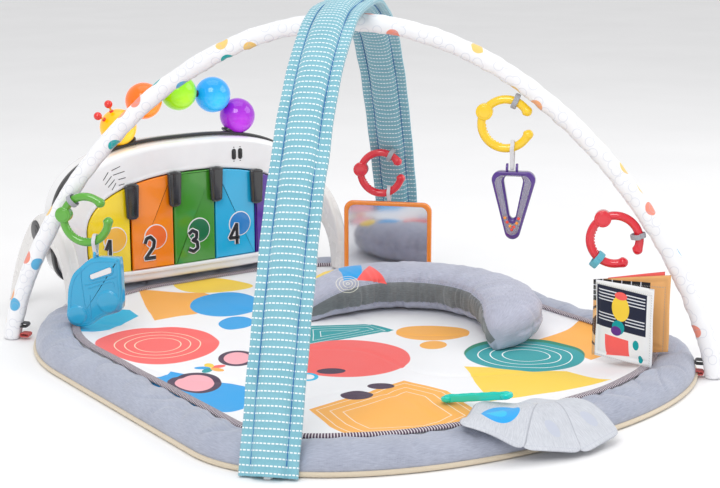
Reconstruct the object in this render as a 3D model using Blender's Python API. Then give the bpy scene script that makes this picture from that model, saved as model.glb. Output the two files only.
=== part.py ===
"""Activity play gym: padded mat, two crossed arches with hanging toys, tummy pillow, cards and a kick piano.

Metres, +Z up. The origin is the centre of the mat's underside and +Y points at the piano.
"""
import math

import bmesh
import bpy
import numpy as np
from mathutils import Matrix, Vector

GAP = 0.0003            # clearance between solids that touch

# Mat
MAT_HALF_WIDTH = 0.360
MAT_BACK_EDGE = 0.431       # straight edge under the piano
MAT_CORNER = 0.296          # radius of the two corners on the piano side
FRONT_START = -0.218        # where the sides start to curve into the front end
FRONT_DEPTH = 0.213
FRONT_POWER = 2.1
BACKING_LIP = 0.004         # bound edge that shows outside the rim
BACKING_TOP = 0.005
PAD_TOP = 0.018
RIM_WIDTH = 0.050
RIM_TOP = 0.035
PIPING_TOP = 0.0235
OUTLINE_POINTS = 54

# Arches: both rise from a pair of feet and cross over the middle of the mat
WHITE_FEET = (Vector((-0.336, 0.327)), Vector((0.322, -0.351)))
WHITE_HEIGHT = 0.4414
WHITE_RISE = 1.448
BLUE_FEET = (Vector((-0.328, -0.3265)), Vector((0.323, 0.3185)))
BLUE_HEIGHT = 0.465
BLUE_RISE = 2.096
BLUE_SPREAD = 0.78
SLEEVE_RADIUS = 0.0125
TUBE_RADIUS = 0.0062
CHANNEL_RADIUS = 0.0068
STRAP_HALF_WIDTH = 0.0325
STRAP_HALF_THICKNESS = 0.0095
TUBE_START = 0.001          # the fabric stands on the floor and the tubes stop just above it

# Link rings
RING_RADIUS = 0.031
RING_ROD = 0.0052
RING_BULB = 0.0064
RING_STEPS = 22
BAND_WALL = 0.0011

# Piano
PIANO_X = -0.025
PIANO_MID_Z = 0.120
BODY_HALF_WIDTH = 0.212
BODY_POWER = 2.7
BODY_UP = 0.122
BODY_DOWN = 0.0825
FRONT_FACE = 0.366
TRIM_FRONT = 0.3963
TRIM_BACK = 0.4037
BACK_FACE = 0.440
WALL = 0.003
BAY_HALF_WIDTH = 0.1755
BAY_UP = 0.0765
BAY_DOWN = 0.0650
KEY_COUNT = 5
KEY_PITCH = 0.070
KEY_FRONT = 0.3663
KEY_THICKNESS = 0.0059
PIVOT_Y = 0.415
PIVOT_Z = 0.124
PIVOT_RADIUS = 0.004
BALL_RADIUS = 0.0268
BALL_Y = 0.407


def clear_scene():
    for item in list(bpy.data.objects):
        bpy.data.objects.remove(item, do_unlink=True)


def material(name, colour, roughness=0.5, metallic=0.0, alpha=1.0):
    made = bpy.data.materials.get(name) or bpy.data.materials.new(name)
    made.use_nodes = True
    shader = made.node_tree.nodes["Principled BSDF"]
    shader.inputs["Base Color"].default_value = (*colour, 1.0)
    shader.inputs["Roughness"].default_value = roughness
    shader.inputs["Metallic"].default_value = metallic
    shader.inputs["Alpha"].default_value = alpha
    return made


def finish(name, mesh, finish_material, origin=(0.0, 0.0, 0.0)):
    """Put a world-space mesh into a named object whose origin is the given point."""
    origin = Vector(origin)
    mesh.transform(Matrix.Translation(-origin))
    made = bpy.data.objects.new(name, mesh)
    made.location = origin
    bpy.context.scene.collection.objects.link(made)
    mesh.materials.append(finish_material)
    mesh.shade_smooth()
    mesh.set_sharp_from_angle(angle=math.radians(35))
    return made


def mesh_from(name, points, faces):
    """Closed mesh with outward faces from lists of points and faces."""
    mesh = bpy.data.meshes.new(name)
    mesh.from_pydata([tuple(map(float, p)) for p in points], [], [tuple(map(int, f)) for f in faces])
    work = bmesh.new()
    work.from_mesh(mesh)
    bmesh.ops.recalc_face_normals(work, faces=work.faces)
    work.to_mesh(mesh)
    work.free()
    return mesh


def skin(rings, looped=False):
    """Points and faces of a body through equal rings of points, with capped ends or joined into a loop."""
    rings = [np.asarray(ring, float) for ring in rings]
    size = len(rings[0])
    count = len(rings)
    faces = []
    for k in range(count if looped else count - 1):
        low = k * size
        high = ((k + 1) % count) * size
        for i in range(size):
            j = (i + 1) % size
            faces.append((low + i, low + j, high + j, high + i))
    if not looped:
        faces.append(tuple(range(size))[::-1])
        faces.append(tuple((count - 1) * size + i for i in range(size)))
    return np.vstack(rings), faces


def prism(outline, low, high, axis):
    """An outline of 2-D points extruded along X, Y or Z between two values."""
    outline = np.asarray(outline, float)
    rings = []
    for value in (low, high):
        ring = np.full((len(outline), 3), float(value))
        ring[:, [k for k in range(3) if k != axis]] = outline
        rings.append(ring)
    return skin(rings)


def box(low, high):
    corners = [(low[0], low[1]), (high[0], low[1]), (high[0], high[1]), (low[0], high[1])]
    return prism(corners, low[2], high[2], 2)


def circle(radius, sides, phase=0.0):
    turn = np.arange(sides) * 2 * math.pi / sides + phase
    return np.column_stack([radius * np.cos(turn), radius * np.sin(turn)])


def cylinder(centre, axis, radius, length, sides=12):
    """Round bar centred on a point, along an axis."""
    axis = Vector(axis).normalized()
    side = axis.orthogonal().normalized()
    other = axis.cross(side)
    flat = circle(radius, sides)
    ring = np.array([side * a + other * b for a, b in flat])
    start = np.array(Vector(centre) - axis * (length / 2))
    return skin([ring + start, ring + start + np.array(axis) * length])


def ball(centre, radius, around=12, rows=7):
    """Sphere of rings about Z with pointed ends kept very small."""
    rings = []
    for k in range(rows + 1):
        tilt = math.pi * (0.03 + 0.94 * k / rows) - math.pi / 2
        ring = circle(radius * math.cos(tilt), around)
        height = np.full(around, radius * math.sin(tilt))
        rings.append(np.column_stack([ring, height]) + np.array(centre))
    return skin(rings)


def frames(path, sideways):
    """Tangent, side and normal at each point of a path; side is as near the given direction as it can be."""
    tangent = np.gradient(path, axis=0)
    tangent /= np.linalg.norm(tangent, axis=1)[:, None]
    side = sideways - tangent * (tangent @ sideways)[:, None]
    side /= np.linalg.norm(side, axis=1)[:, None]
    return tangent, side, np.cross(tangent, side)


def sweep_rings(path, section, sideways, scale=None):
    """A 2-D section (side, normal) carried along a path."""
    path = np.asarray(path, float)
    side, normal = frames(path, np.asarray(sideways, float))[1:]
    scale = np.ones(len(path)) if scale is None else scale
    return [path[k] + scale[k] * (section[:, :1] * side[k] + section[:, 1:] * normal[k])
            for k in range(len(path))]


def cut(target, tool_body, name, operation="DIFFERENCE"):
    """Boolean with a hidden wire tool."""
    tool = bpy.data.objects.new(name, mesh_from(name, *tool_body))
    bpy.context.scene.collection.objects.link(tool)
    tool.hide_render = True
    tool.display_type = "WIRE"
    modifier = target.modifiers.new(name, "BOOLEAN")
    modifier.operation = operation
    modifier.solver = "EXACT"
    modifier.object = tool


# ---------------------------------------------------------------- mat

def superellipse(turn, half_width, up, down, power_up, power_down):
    """Points at each angle of an outline with its own height and power above and below its middle."""
    c = np.cos(turn)
    s = np.sin(turn)
    power = np.where(s >= 0, power_up, power_down)
    height = np.where(s >= 0, up, down)
    x = half_width * np.sign(c) * np.abs(c) ** (2 / power)
    z = height * np.sign(s) * np.abs(s) ** (2 / power)
    return x, z


def mat_outline(inset):
    """Mat outline moved inwards: straight back and sides, round corners and a superellipse front."""
    half = MAT_HALF_WIDTH - inset
    back = MAT_BACK_EDGE - inset
    radius = MAT_CORNER - inset
    depth = FRONT_DEPTH - inset
    count = OUTLINE_POINTS // 2
    corner = np.linspace(math.pi / 2, 0, count // 3 + 1)
    right = [np.column_stack([half - radius + radius * np.cos(corner),
                              back - radius + radius * np.sin(corner)])]
    right.append(np.array([(half, (back - radius + FRONT_START) / 2)]))
    turn = np.linspace(0, math.pi / 2, count - len(corner) - 1)
    front_x = half * np.cos(turn) ** (2 / FRONT_POWER)
    front_y = FRONT_START - depth * np.sin(turn) ** (2 / FRONT_POWER)
    right.append(np.column_stack([front_x, front_y]))
    right = np.vstack(right)
    return np.vstack([right, right[-2::-1] * (-1, 1)])


def at_height(outline, z):
    return np.column_stack([outline, np.full(len(outline), z)])


def build_mat(cloth):
    lip = mat_outline(-BACKING_LIP)
    backing = skin([at_height(lip, 0.0), at_height(lip, BACKING_TOP)])
    base = finish("mat_backing", mesh_from("mat_backing", *backing), cloth["cream"])
    edge = mat_outline(RIM_WIDTH + GAP)
    pad = skin([at_height(edge, BACKING_TOP + GAP), at_height(edge, PAD_TOP)])
    finish("mat_pad", mesh_from("mat_pad", *pad), cloth["print"])
    floor = BACKING_TOP + GAP
    section = [(0.002, floor), (0.0, 0.017), (0.008, 0.0305), (0.026, RIM_TOP), (0.042, 0.0305),
               (RIM_WIDTH, 0.019), (RIM_WIDTH, floor)]
    rim = skin([at_height(mat_outline(inset), z) for inset, z in section], looped=True)
    soft = finish("mat_rim", mesh_from("mat_rim", *rim), cloth["grey"])
    for k, notch in enumerate(strap_notches()):
        cut(base, notch, f"backing_notch_{k}")
        cut(soft, notch, f"rim_notch_{k}")
    low = PAD_TOP + GAP
    section = [(RIM_WIDTH + 0.0006, low), (RIM_WIDTH + 0.0006, PIPING_TOP), (0.0575, PIPING_TOP),
               (0.059, low)]
    piping = skin([at_height(mat_outline(inset), z) for inset, z in section], looped=True)
    finish("striped_piping", mesh_from("striped_piping", *piping), cloth["stripe"])


# ---------------------------------------------------------------- arches

def arch_path(feet, height, rise, spread, start_z, count):
    """Points from one foot to the other: the height is a power of the sine, the run a power of the cosine."""
    first = math.asin((start_z / height) ** (1 / rise))
    turn = np.linspace(first, math.pi - first, count)
    run = -np.sign(np.cos(turn)) * np.abs(np.cos(turn)) ** spread
    middle = (feet[0] + feet[1]) / 2
    half = (feet[1] - feet[0]) / 2
    path = np.column_stack([middle.x + run * half.x, middle.y + run * half.y, height * np.sin(turn) ** rise])
    return path


def arch_direction(feet):
    """Unit vectors along an arch's run and across it."""
    run = (feet[1] - feet[0]).normalized()
    return Vector((run.x, run.y, 0)), Vector((-run.y, run.x, 0))


def strap_section():
    """Flat side flanges and a padded channel in the middle."""
    half = [(-STRAP_HALF_WIDTH, -0.0025), (-0.0195, -0.003), (-0.0110, -STRAP_HALF_THICKNESS),
            (0.0110, -STRAP_HALF_THICKNESS), (0.0195, -0.003), (STRAP_HALF_WIDTH, -0.0025)]
    return np.array(half + [(x, -y) for x, y in half[::-1]])


def channel_section(sides):
    """Round channel with as many points as the strap, starting at the same corner."""
    start = math.atan2(-0.0025, -STRAP_HALF_WIDTH)
    turn = start + (np.arange(sides) + 0.5) * 2 * math.pi / sides
    return np.column_stack([CHANNEL_RADIUS * np.cos(turn), CHANNEL_RADIUS * np.sin(turn)])


def blue_path():
    return arch_path(BLUE_FEET, BLUE_HEIGHT, BLUE_RISE, BLUE_SPREAD, 0.009, 25)


def strap_notches():
    """The flat strap presses into the soft rim: its lowest parts, slightly larger, from below the floor."""
    section = strap_section() * (1.02, 1.08)
    rings = sweep_rings(blue_path(), section, arch_direction(BLUE_FEET)[1])
    cut_level(rings, 0, 1, -0.002)
    cut_level(rings, -1, -2, -0.002)
    return skin(rings[:4]), skin(rings[-4:])


def build_arches(cloth, plastic):
    white_across = arch_direction(WHITE_FEET)[1]
    blue_across = arch_direction(BLUE_FEET)[1]
    white = arch_path(WHITE_FEET, WHITE_HEIGHT, WHITE_RISE, 1.0, 0.006, 27)
    blue = blue_path()
    round_outer = circle(SLEEVE_RADIUS, 8, math.pi / 8)
    round_inner = circle(CHANNEL_RADIUS, 8, math.pi / 8)
    body = hollow_sleeve(sweep_rings(white, round_outer, white_across),
                         sweep_rings(white, round_inner, white_across))
    finish("white_sleeve", mesh_from("white_sleeve", *body), cloth["white_print"])
    outer = strap_section()
    body = hollow_sleeve(sweep_rings(blue, outer, blue_across),
                         sweep_rings(blue, channel_section(len(outer)), blue_across))
    finish("blue_strap", mesh_from("blue_strap", *body), cloth["aqua"])

    for names, path, across in ((("white_tube_left", "white_tube_right"), white, white_across),
                                (("blue_tube_front", "blue_tube_back"), blue, blue_across)):
        middle = len(path) // 2
        for name, half in zip(names, (path[:middle + 1], path[middle:][::-1])):
            rings = sweep_rings(half, circle(TUBE_RADIUS, 6), across)
            cut_level(rings, 0, 1, TUBE_START)
            rings[-1] = rings[-1] + (half[-2] - half[-1]) / np.linalg.norm(half[-2] - half[-1]) * 4 * GAP
            finish(name, mesh_from(name, *skin(rings)), plastic["tube"])


def cut_level(rings, end, near, height):
    """Move the points of an end ring along the sleeve until they all lie at one height."""
    run = rings[near] - rings[end]
    rings[end] = rings[end] + run * ((height - rings[end][:, 2]) / run[:, 2])[:, None]


def hollow_sleeve(outer, inner):
    """Fabric sleeve of outer and inner rings, cut level on the floor at both ends."""
    for rings in (outer, inner):
        cut_level(rings, 0, 1, 0.0)
        cut_level(rings, -1, -2, 0.0)
    return skin(outer + inner[::-1], looped=True)


# ---------------------------------------------------------------- toys

RUN, AWAY = arch_direction(WHITE_FEET)
CENTRE = (WHITE_FEET[0] + WHITE_FEET[1]) / 2
UP = Vector((0, 0, 1))


def toy_space(points, centre):
    """Local points (right, away, up) of a hanging toy placed round a centre."""
    points = np.asarray(points, float)
    axes = np.array([RUN, AWAY, UP])
    return points @ axes + np.array(centre)


def on_ring(centre, degrees, radius=RING_RADIUS):
    angle = math.radians(degrees)
    return Vector(centre) + RUN * (radius * math.cos(angle)) + UP * (radius * math.sin(angle))


def build_ring(name, centre, gap_from, gap_to, knob, hook, plastic):
    """C-shaped link: a round rod along an arc, thicker at its two ends, with a flat round knob."""
    turn = np.radians(np.linspace(gap_to, 360 + gap_from, RING_STEPS))
    path = np.array([on_ring(centre, math.degrees(t)) for t in turn])
    scale = np.ones(RING_STEPS)
    for k, size in ((0, 0.7), (1, RING_BULB / RING_ROD)):
        scale[k] = scale[-1 - k] = size
    rod = skin(sweep_rings(path, circle(RING_ROD, 8), AWAY, scale))
    made = finish(name, mesh_from(name, *rod), plastic, on_ring(centre, hook))
    cut(made, cylinder(on_ring(centre, knob), AWAY, 0.0098, 0.0085), name + "_knob", "UNION")


def band(near, far, axis, near_clear, far_clear, width):
    """Webbing loop: a flat band round two points, with a clearance at each and a width along its axis."""
    axis = Vector(axis).normalized()
    span = Vector(far) - Vector(near)
    span -= axis * span.dot(axis)
    length = span.length
    along = span.normalized()
    other = axis.cross(along)
    rings = []
    for wall, half in ((0.0, -width / 2), (BAND_WALL, -width / 2), (BAND_WALL, width / 2), (0.0, width / 2)):
        ring = []
        for k in range(8):
            turn = math.radians(90 + 60 * (k % 4) + (180 if k > 3 else 0))
            shift = 0.0 if k < 4 else length
            radius = wall + (near_clear if k < 4 else far_clear)
            forward = radius * math.cos(turn) + shift
            point = Vector(near) + along * forward + other * (radius * math.sin(turn))
            ring.append(point + axis * half)
        rings.append(np.array(ring))
    return skin(rings, looped=True)


def ring_tangent(degrees):
    angle = math.radians(degrees)
    return RUN * -math.sin(angle) + UP * math.cos(angle)


def rounded_box(half_width, low, high, corner, steps=4):
    """Outline (right, up) of a rectangle with round corners."""
    outline = []
    for cx, cz, start in ((half_width - corner, high - corner, 0), (corner - half_width, high - corner, 90),
                          (corner - half_width, low + corner, 180), (half_width - corner, low + corner, 270)):
        for k in range(steps):
            turn = math.radians(start + 90 * k / (steps - 1))
            outline.append((cx + corner * math.cos(turn), cz + corner * math.sin(turn)))
    return np.array(outline)


def plate(outline, centre, front, back):
    """A (right, up) outline made solid between two depths."""
    rings = []
    for depth in (front, back):
        level = np.full(len(outline), depth)
        rings.append(toy_space(np.column_stack([outline[:, 0], level, outline[:, 1]]), centre))
    return skin(rings)


def frame_plate(outer, inner, centre, front, back):
    """A plate with a hole: both outlines have the same number of points."""
    rings = []
    for outline, depth in ((outer, front), (outer, back), (inner, back), (inner, front)):
        level = np.full(len(outline), depth)
        rings.append(toy_space(np.column_stack([outline[:, 0], level, outline[:, 1]]), centre))
    return skin(rings, looped=True)


def lug_pair(hang, centre_z, drop):
    """Two ears and the pin between them, as one body below a hanging point."""
    pin = 0.0018
    outline = [(-0.0075, -drop), (-0.0075, 0.0), (-0.0065, pin),
               (0.0065, pin), (0.0075, 0.0), (0.0075, -drop),
               (0.0040, -drop), (0.0040, -pin), (-0.0040, -pin), (-0.0040, -drop)]
    return np.array(outline) + (hang, centre_z)


VAN_OUTLINE = ((-0.024, 0.000), (-0.013, 0.009), (0.0, 0.013), (0.026, 0.013), (0.0305, 0.009),
               (0.032, -0.020),
               (0.032, -0.049), (0.029, -0.059), (0.018, -0.064), (0.006, -0.068), (-0.002, -0.073),
               (-0.014, -0.081), (-0.030, -0.0845), (-0.042, -0.080), (-0.047, -0.070), (-0.046, -0.058),
               (-0.045, -0.045), (-0.043, -0.030), (-0.036, -0.012))


def hang_points(ring, degrees, drop):
    """Where a tab holds the ring, and the pin below it."""
    top = on_ring(ring, degrees)
    return top, top - UP * drop


RINGS = {
    "ring_green": (CENTRE.to_3d() + RUN * -0.3528 + AWAY * -0.0195 + UP * 0.1758, 9.0, 36.0, 169.0, 125.0),
    "ring_yellow": (CENTRE.to_3d() + RUN * 0.2020 + UP * 0.3175, -12.0, 20.0, 151.0, 68.0),
    "ring_red_book": (CENTRE.to_3d() + RUN * 0.3425 + AWAY * -0.002 + UP * 0.1745, -56.0, -34.0, 120.0, 12.0),
    "ring_red_mirror": (Vector((0.2236, 0.2375, 0.1853)), -1.0, 24.0, 171.0, 62.0),
}
TAB_ANGLES = {"ring_green": -67.0, "ring_yellow": -73.0, "ring_red_book": -128.0, "ring_red_mirror": -66.0}


def build_toys(cloth, plastic):
    colours = {"ring_green": "green", "ring_yellow": "yellow",
               "ring_red_book": "red", "ring_red_mirror": "red"}
    for name, (centre, gap_from, gap_to, knob, hook) in RINGS.items():
        build_ring(name, centre, gap_from, gap_to, knob, hook, plastic[colours[name]])
    build_toy_loops(cloth)
    build_van_toy(cloth, plastic)
    build_triangle_toy(cloth, plastic)
    build_mirror_toy(cloth, plastic)
    build_book(cloth)


def nearest_on_path(path, point):
    return Vector(path[np.linalg.norm(path - np.array(point), axis=1).argmin()])


def build_toy_loops(cloth):
    """Webbing loops between the arches and the rings, each stopping just short of the sleeve or strap."""
    white = arch_path(WHITE_FEET, WHITE_HEIGHT, WHITE_RISE, 1.0, 0.006, 1601)
    blue = arch_path(BLUE_FEET, BLUE_HEIGHT, BLUE_RISE, BLUE_SPREAD, 0.009, 1601)
    for name, (centre, _, _, _, hook) in RINGS.items():
        on_blue = name == "ring_red_mirror"
        path, surface = (blue, STRAP_HALF_THICKNESS) if on_blue else (white, SLEEVE_RADIUS)
        held = on_ring(centre, hook)
        axis = ring_tangent(hook)
        target = nearest_on_path(path, held)
        span = target - held
        span -= axis * span.dot(axis)
        reach = (target - held).length - surface - 0.0062 - BAND_WALL - 2 * GAP
        far = held + span.normalized() * max(reach, 0.0001)
        loop_name = name.replace("ring_", "loop_")
        loop = band(held, far, axis, 0.0084, 0.0062, 0.005)
        finish(loop_name, mesh_from(loop_name, *loop), cloth["webbing_grey"])


def build_van_toy(cloth, plastic):
    ring = RINGS["ring_green"][0]
    held, pin = hang_points(ring, TAB_ANGLES["ring_green"], 0.0150)
    centre = pin - UP * 0.0190 + RUN * 0.005
    body = plate(np.array(VAN_OUTLINE), centre, -0.0085, 0.0085)
    van = finish("van_toy", mesh_from("van_toy", *body), plastic["cyan"], held)
    window = rounded_box(0.0145, -0.0050, 0.0050, 0.002) + (0.0055, -0.0095)
    window[:, 1] += window[:, 0] * 0.22
    cut(van, plate(window, centre, -0.02, 0.02), "van_window")
    cut(van, plate(lug_pair(-0.005, 0.0190, 0.0095), centre, -0.0016, 0.0016), "van_lug", "UNION")
    wheel = cylinder(toy_space([(0.0139, 0.0, -0.0464)], centre)[0], AWAY, 0.0145, 0.0205, 14)
    cut(van, wheel, "van_wheel", "UNION")
    small = cylinder(toy_space([(-0.0336, 0.0, -0.0690)], centre)[0], AWAY, 0.0105, 0.0195, 14)
    cut(van, small, "van_small_wheel", "UNION")
    tab = band(held, pin, RUN, 0.0083, 0.0030, 0.004)
    finish("van_tab", mesh_from("van_tab", *tab), cloth["webbing_white"], held)


def triangle_outline(inset):
    """Rounded triangle (right, up), point down; the inset moves every side inwards."""
    outline = []
    corner = 0.0115 - inset
    for cx, cz, start, end in ((0.0165, -0.0115, 90, -16), (0.0, -0.0785, -16, -164),
                               (-0.0165, -0.0115, -164, -270)):
        size = corner if cz > -0.05 else corner - 0.0015
        for k in range(5):
            turn = math.radians(start + (end - start) * k / 4)
            outline.append((cx + size * math.cos(turn), cz + size * math.sin(turn)))
    return np.array(outline)


def build_triangle_toy(cloth, plastic):
    ring = RINGS["ring_yellow"][0]
    held, pin = hang_points(ring, TAB_ANGLES["ring_yellow"], 0.0245)
    centre = pin - UP * 0.0060 + RUN * 0.002
    outer = triangle_outline(0.0)
    inner = np.array([(x * 0.42, -0.0155 + (z + 0.0155) * 0.62) for x, z in triangle_outline(0.004)])
    border = frame_plate(outer, inner, centre, -0.004, 0.010)
    frame = finish("triangle_frame", mesh_from("triangle_frame", *border), plastic["purple"], held)
    cut(frame, plate(lug_pair(-0.002, 0.0060, 0.0085), centre, -0.0016, 0.0016), "triangle_lug", "UNION")
    window_out = np.array([(x * 0.82, -0.034 + (z + 0.034) * 0.87) for x, z in outer])
    window_in = np.array([(x * 0.52, -0.0165 + (z + 0.0165) * 0.70) for x, z in triangle_outline(0.004)])
    window = frame_plate(window_out, window_in, centre, -0.0100, -0.0043)
    finish("triangle_window", mesh_from("triangle_window", *window), plastic["clear"], held)
    tab = band(held, pin, RUN, 0.0083, 0.0030, 0.004)
    finish("triangle_tab", mesh_from("triangle_tab", *tab), cloth["webbing_white"], held)


def build_mirror_toy(cloth, plastic):
    ring = RINGS["ring_red_mirror"][0]
    held, pin = hang_points(ring, TAB_ANGLES["ring_red_mirror"], 0.0100)
    centre = pin - UP * 0.0045 - RUN * 0.0017
    outer = rounded_box(0.0670, -0.118, 0.0, 0.014)
    inner = rounded_box(0.0620, -0.113, -0.005, 0.010)
    frame = frame_plate(outer, inner, centre, -0.005, 0.003)
    made = finish("mirror_frame", mesh_from("mirror_frame", *frame), plastic["orange"], held)
    cut(made, plate(lug_pair(0.0017, 0.0045, 0.0070), centre, -0.0016, 0.0016), "mirror_lug", "UNION")
    face = rounded_box(0.0617, -0.1127, -0.0053, 0.0098)
    film = plate(face, centre, -0.0030, -0.0010)
    finish("mirror_plate", mesh_from("mirror_plate", *film), plastic["mirror"], held)
    rear = plate(outer, centre, 0.0033, 0.0060)
    finish("mirror_back", mesh_from("mirror_back", *rear), plastic["orange"], held)
    tab = band(held, pin, RUN, 0.0083, 0.0030, 0.004)
    finish("mirror_tab", mesh_from("mirror_tab", *tab), cloth["webbing_white"], held)


SPINE = Vector((0.2075, -0.2515, 0.0))
PAGE_LOW = 0.0250
PAGE_HEIGHT = 0.100
PAGE_LENGTH = 0.094
PAGE_HALF = 0.0022


def page(heading, lift, start, length):
    """Soft page: a thin slab from the spine along a heading, its outer edge raised by lift."""
    heading = Vector((heading[0], heading[1], 0)).normalized()
    side = Vector((-heading.y, heading.x, 0))
    rings = []
    for along, half in ((start, 0.0006), (start + 0.008, PAGE_HALF), (length - 0.005, PAGE_HALF),
                        (length, 0.0008)):
        rise = lift * along / length
        low = SPINE + heading * along + UP * (PAGE_LOW + rise)
        high = low + UP * PAGE_HEIGHT
        rings.append([low - side * half, low + side * half, high + side * half, high - side * half])
    return skin(rings)


def build_book(cloth):
    """Three fabric pages on one spine, and the ribbon that hangs them from the ring."""
    top = SPINE + UP * (PAGE_LOW + PAGE_HEIGHT / 2)
    for name, heading, lift, start, length, colour in (
            ("book_front", (0.10, -0.98), 0.005, 0.0125, PAGE_LENGTH, "page_dark"),
            ("book_middle", (0.60, -0.80), 0.0125, -0.003, PAGE_LENGTH, "page_tan"),
            ("book_back", (0.76, -0.65), 0.0120, 0.0150, 0.086, "page_coral")):
        finish(name, mesh_from(name, *page(heading, lift, start, length)), cloth[colour], top)
    ring = RINGS["ring_red_book"][0]
    held = on_ring(ring, TAB_ANGLES["ring_red_book"])
    across = ring_tangent(TAB_ANGLES["ring_red_book"])
    top_loop = band(held, held - UP * 0.0035, across, 0.0075, 0.0105, 0.007)
    finish("book_ribbon", mesh_from("book_ribbon", *top_loop), cloth["ribbon"], held)


# ---------------------------------------------------------------- loose pieces on the mat

PILLOW_CENTRE = Vector((0.083, -0.012))
PILLOW_RADIUS = 0.143
PILLOW_HALF_WIDTH = 0.047
PILLOW_TOP = 0.081
PILLOW_STEPS = 17


def build_pillow(cloth):
    """Crescent cushion: an oval section carried round an arc, drawn in towards both ends."""
    turn = np.radians(np.linspace(-70, 122, PILLOW_STEPS))
    path = np.column_stack([PILLOW_CENTRE.x + PILLOW_RADIUS * np.cos(turn),
                            PILLOW_CENTRE.y + PILLOW_RADIUS * np.sin(turn)])
    part = np.linspace(-1, 1, PILLOW_STEPS)
    grow = (1 - np.abs(part) ** 4.5 * 0.97) ** 0.5
    middle = (PAD_TOP + GAP + PILLOW_TOP) / 2
    half_height = (PILLOW_TOP - PAD_TOP - GAP) / 2
    rings = []
    for k in range(PILLOW_STEPS):
        radial = np.array([math.cos(turn[k]), math.sin(turn[k])])
        ring = []
        for angle in np.arange(10) * math.pi / 5:
            across = np.sign(math.cos(angle)) * abs(math.cos(angle)) ** 0.8 * PILLOW_HALF_WIDTH * grow[k]
            rise = half_height * (0.35 + 0.65 * grow[k])
            height = np.sign(math.sin(angle)) * abs(math.sin(angle)) ** 0.8 * rise
            drop = -half_height * 0.65 * (1 - grow[k])
            ring.append((*(path[k] + radial * across), middle + height + drop))
        rings.append(ring)
    finish("pillow", mesh_from("pillow", *skin(rings)), cloth["grey"])


CARD_HALF_WIDTH = 0.038
CARD_HALF_LENGTH = 0.0625
CARD_THICKNESS = 0.0012


def mat_inset(x, y):
    """How far inside the front edge a point lies, from the front superellipse."""
    level = (np.abs(x / MAT_HALF_WIDTH) ** FRONT_POWER
             + (np.maximum(FRONT_START - y, 0) / FRONT_DEPTH) ** FRONT_POWER) ** (1 / FRONT_POWER)
    return (1 - level) * FRONT_DEPTH


def draped_height(x, y, layer):
    """A card's underside: level on the pad, up over the piping and rim, then down to the floor."""
    inset = mat_inset(x, y)
    knots = [(-0.060, 0.0012), (-0.046, 0.0035), (-0.020, 0.0180),
             (-0.004, 0.0300), (0.012, 0.0368), (0.028, 0.0378),
             (0.042, 0.0350), (0.055, 0.0285), (0.075, 0.0250), (0.30, 0.0250)]
    return np.interp(inset, [a for a, _ in knots], [b for _, b in knots]) + layer * (CARD_THICKNESS + 0.0018)


def build_card(name, top, heading, layer, colour):
    """Oblong card with rounded corners, draped over the rim, from its top edge's middle along a heading."""
    steps = 9
    centre = (top[0] + CARD_HALF_LENGTH * math.cos(heading), top[1] + CARD_HALF_LENGTH * math.sin(heading))
    line = np.linspace(-1, 1, steps)
    u, v = np.meshgrid(line, line)
    reach = np.maximum(np.abs(u), np.abs(v))
    round_off = 1 - 0.10 * (np.abs(u * v)) ** 4 * reach
    u = u * round_off * CARD_HALF_LENGTH
    v = v * round_off * CARD_HALF_WIDTH
    c = math.cos(heading)
    s = math.sin(heading)
    x = centre[0] + u * c - v * s
    y = centre[1] + u * s + v * c
    low = draped_height(x, y, layer)
    points = np.concatenate([np.stack([x, y, low], -1).reshape(-1, 3),
                             np.stack([x, y, low + CARD_THICKNESS], -1).reshape(-1, 3)])
    total = steps * steps
    faces = []
    for j in range(steps - 1):
        for i in range(steps - 1):
            a = j * steps + i
            quad = (a, a + 1, a + 1 + steps, a + steps)
            faces.append(quad[::-1])
            faces.append(tuple(total + k for k in quad))
    border = ([i for i in range(steps)] + [j * steps + steps - 1 for j in range(1, steps)]
              + [total - 2 - i for i in range(steps - 1)] + [j * steps for j in range(steps - 2, 0, -1)])
    for a, b in zip(border, border[1:] + border[:1]):
        faces.append((a, b, total + b, total + a))
    finish(name, mesh_from(name, points, faces), colour)


def build_cards(cloth, plastic):
    build_card("card_bottom", (-0.002, -0.345), math.radians(-79), 0, cloth["card"])
    build_card("card_top", (-0.012, -0.345), math.radians(-139), 1, cloth["card"])
    start = Vector((-0.050, -0.279, 0.0232))
    end = Vector((-0.020, -0.350, 0.0403))
    along = (end - start).normalized()
    link = band(start, end, along.cross(UP).normalized().cross(along), 0.0022, 0.0022, 0.0085)
    finish("card_link", mesh_from("card_link", *link), plastic["teal"])


# ---------------------------------------------------------------- piano

TURN = (np.arange(36) + 0.5) * 2 * math.pi / 36


def body_ring(y, grow=0.0):
    """Ring of the case outline at a depth, moved outwards by grow."""
    x, z = superellipse(TURN, BODY_HALF_WIDTH + grow, BODY_UP + grow, BODY_DOWN + grow, BODY_POWER, 5.0)
    return np.column_stack([x + PIANO_X, np.full(len(TURN), y), z + PIANO_MID_Z])


def bay_ring(y, grow=0.0):
    """Ring of the key bay at a depth."""
    x, z = superellipse(TURN, BAY_HALF_WIDTH + grow, BAY_UP + grow, BAY_DOWN + grow, 2.25, 6.0)
    return np.column_stack([x + PIANO_X, np.full(len(TURN), y), z + PIANO_MID_Z])


def bay_limit(x, upper, inset):
    """Height of the bay's edge at x, measured from the piano's middle."""
    half = BAY_HALF_WIDTH - inset
    height, power = (BAY_UP, 2.25) if upper else (BAY_DOWN, 6.0)
    share = np.clip(1 - (np.abs(x) / half) ** power, 0, 1) ** (1 / power)
    return PIANO_MID_Z + (1 if upper else -1) * (height - inset) * share


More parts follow.
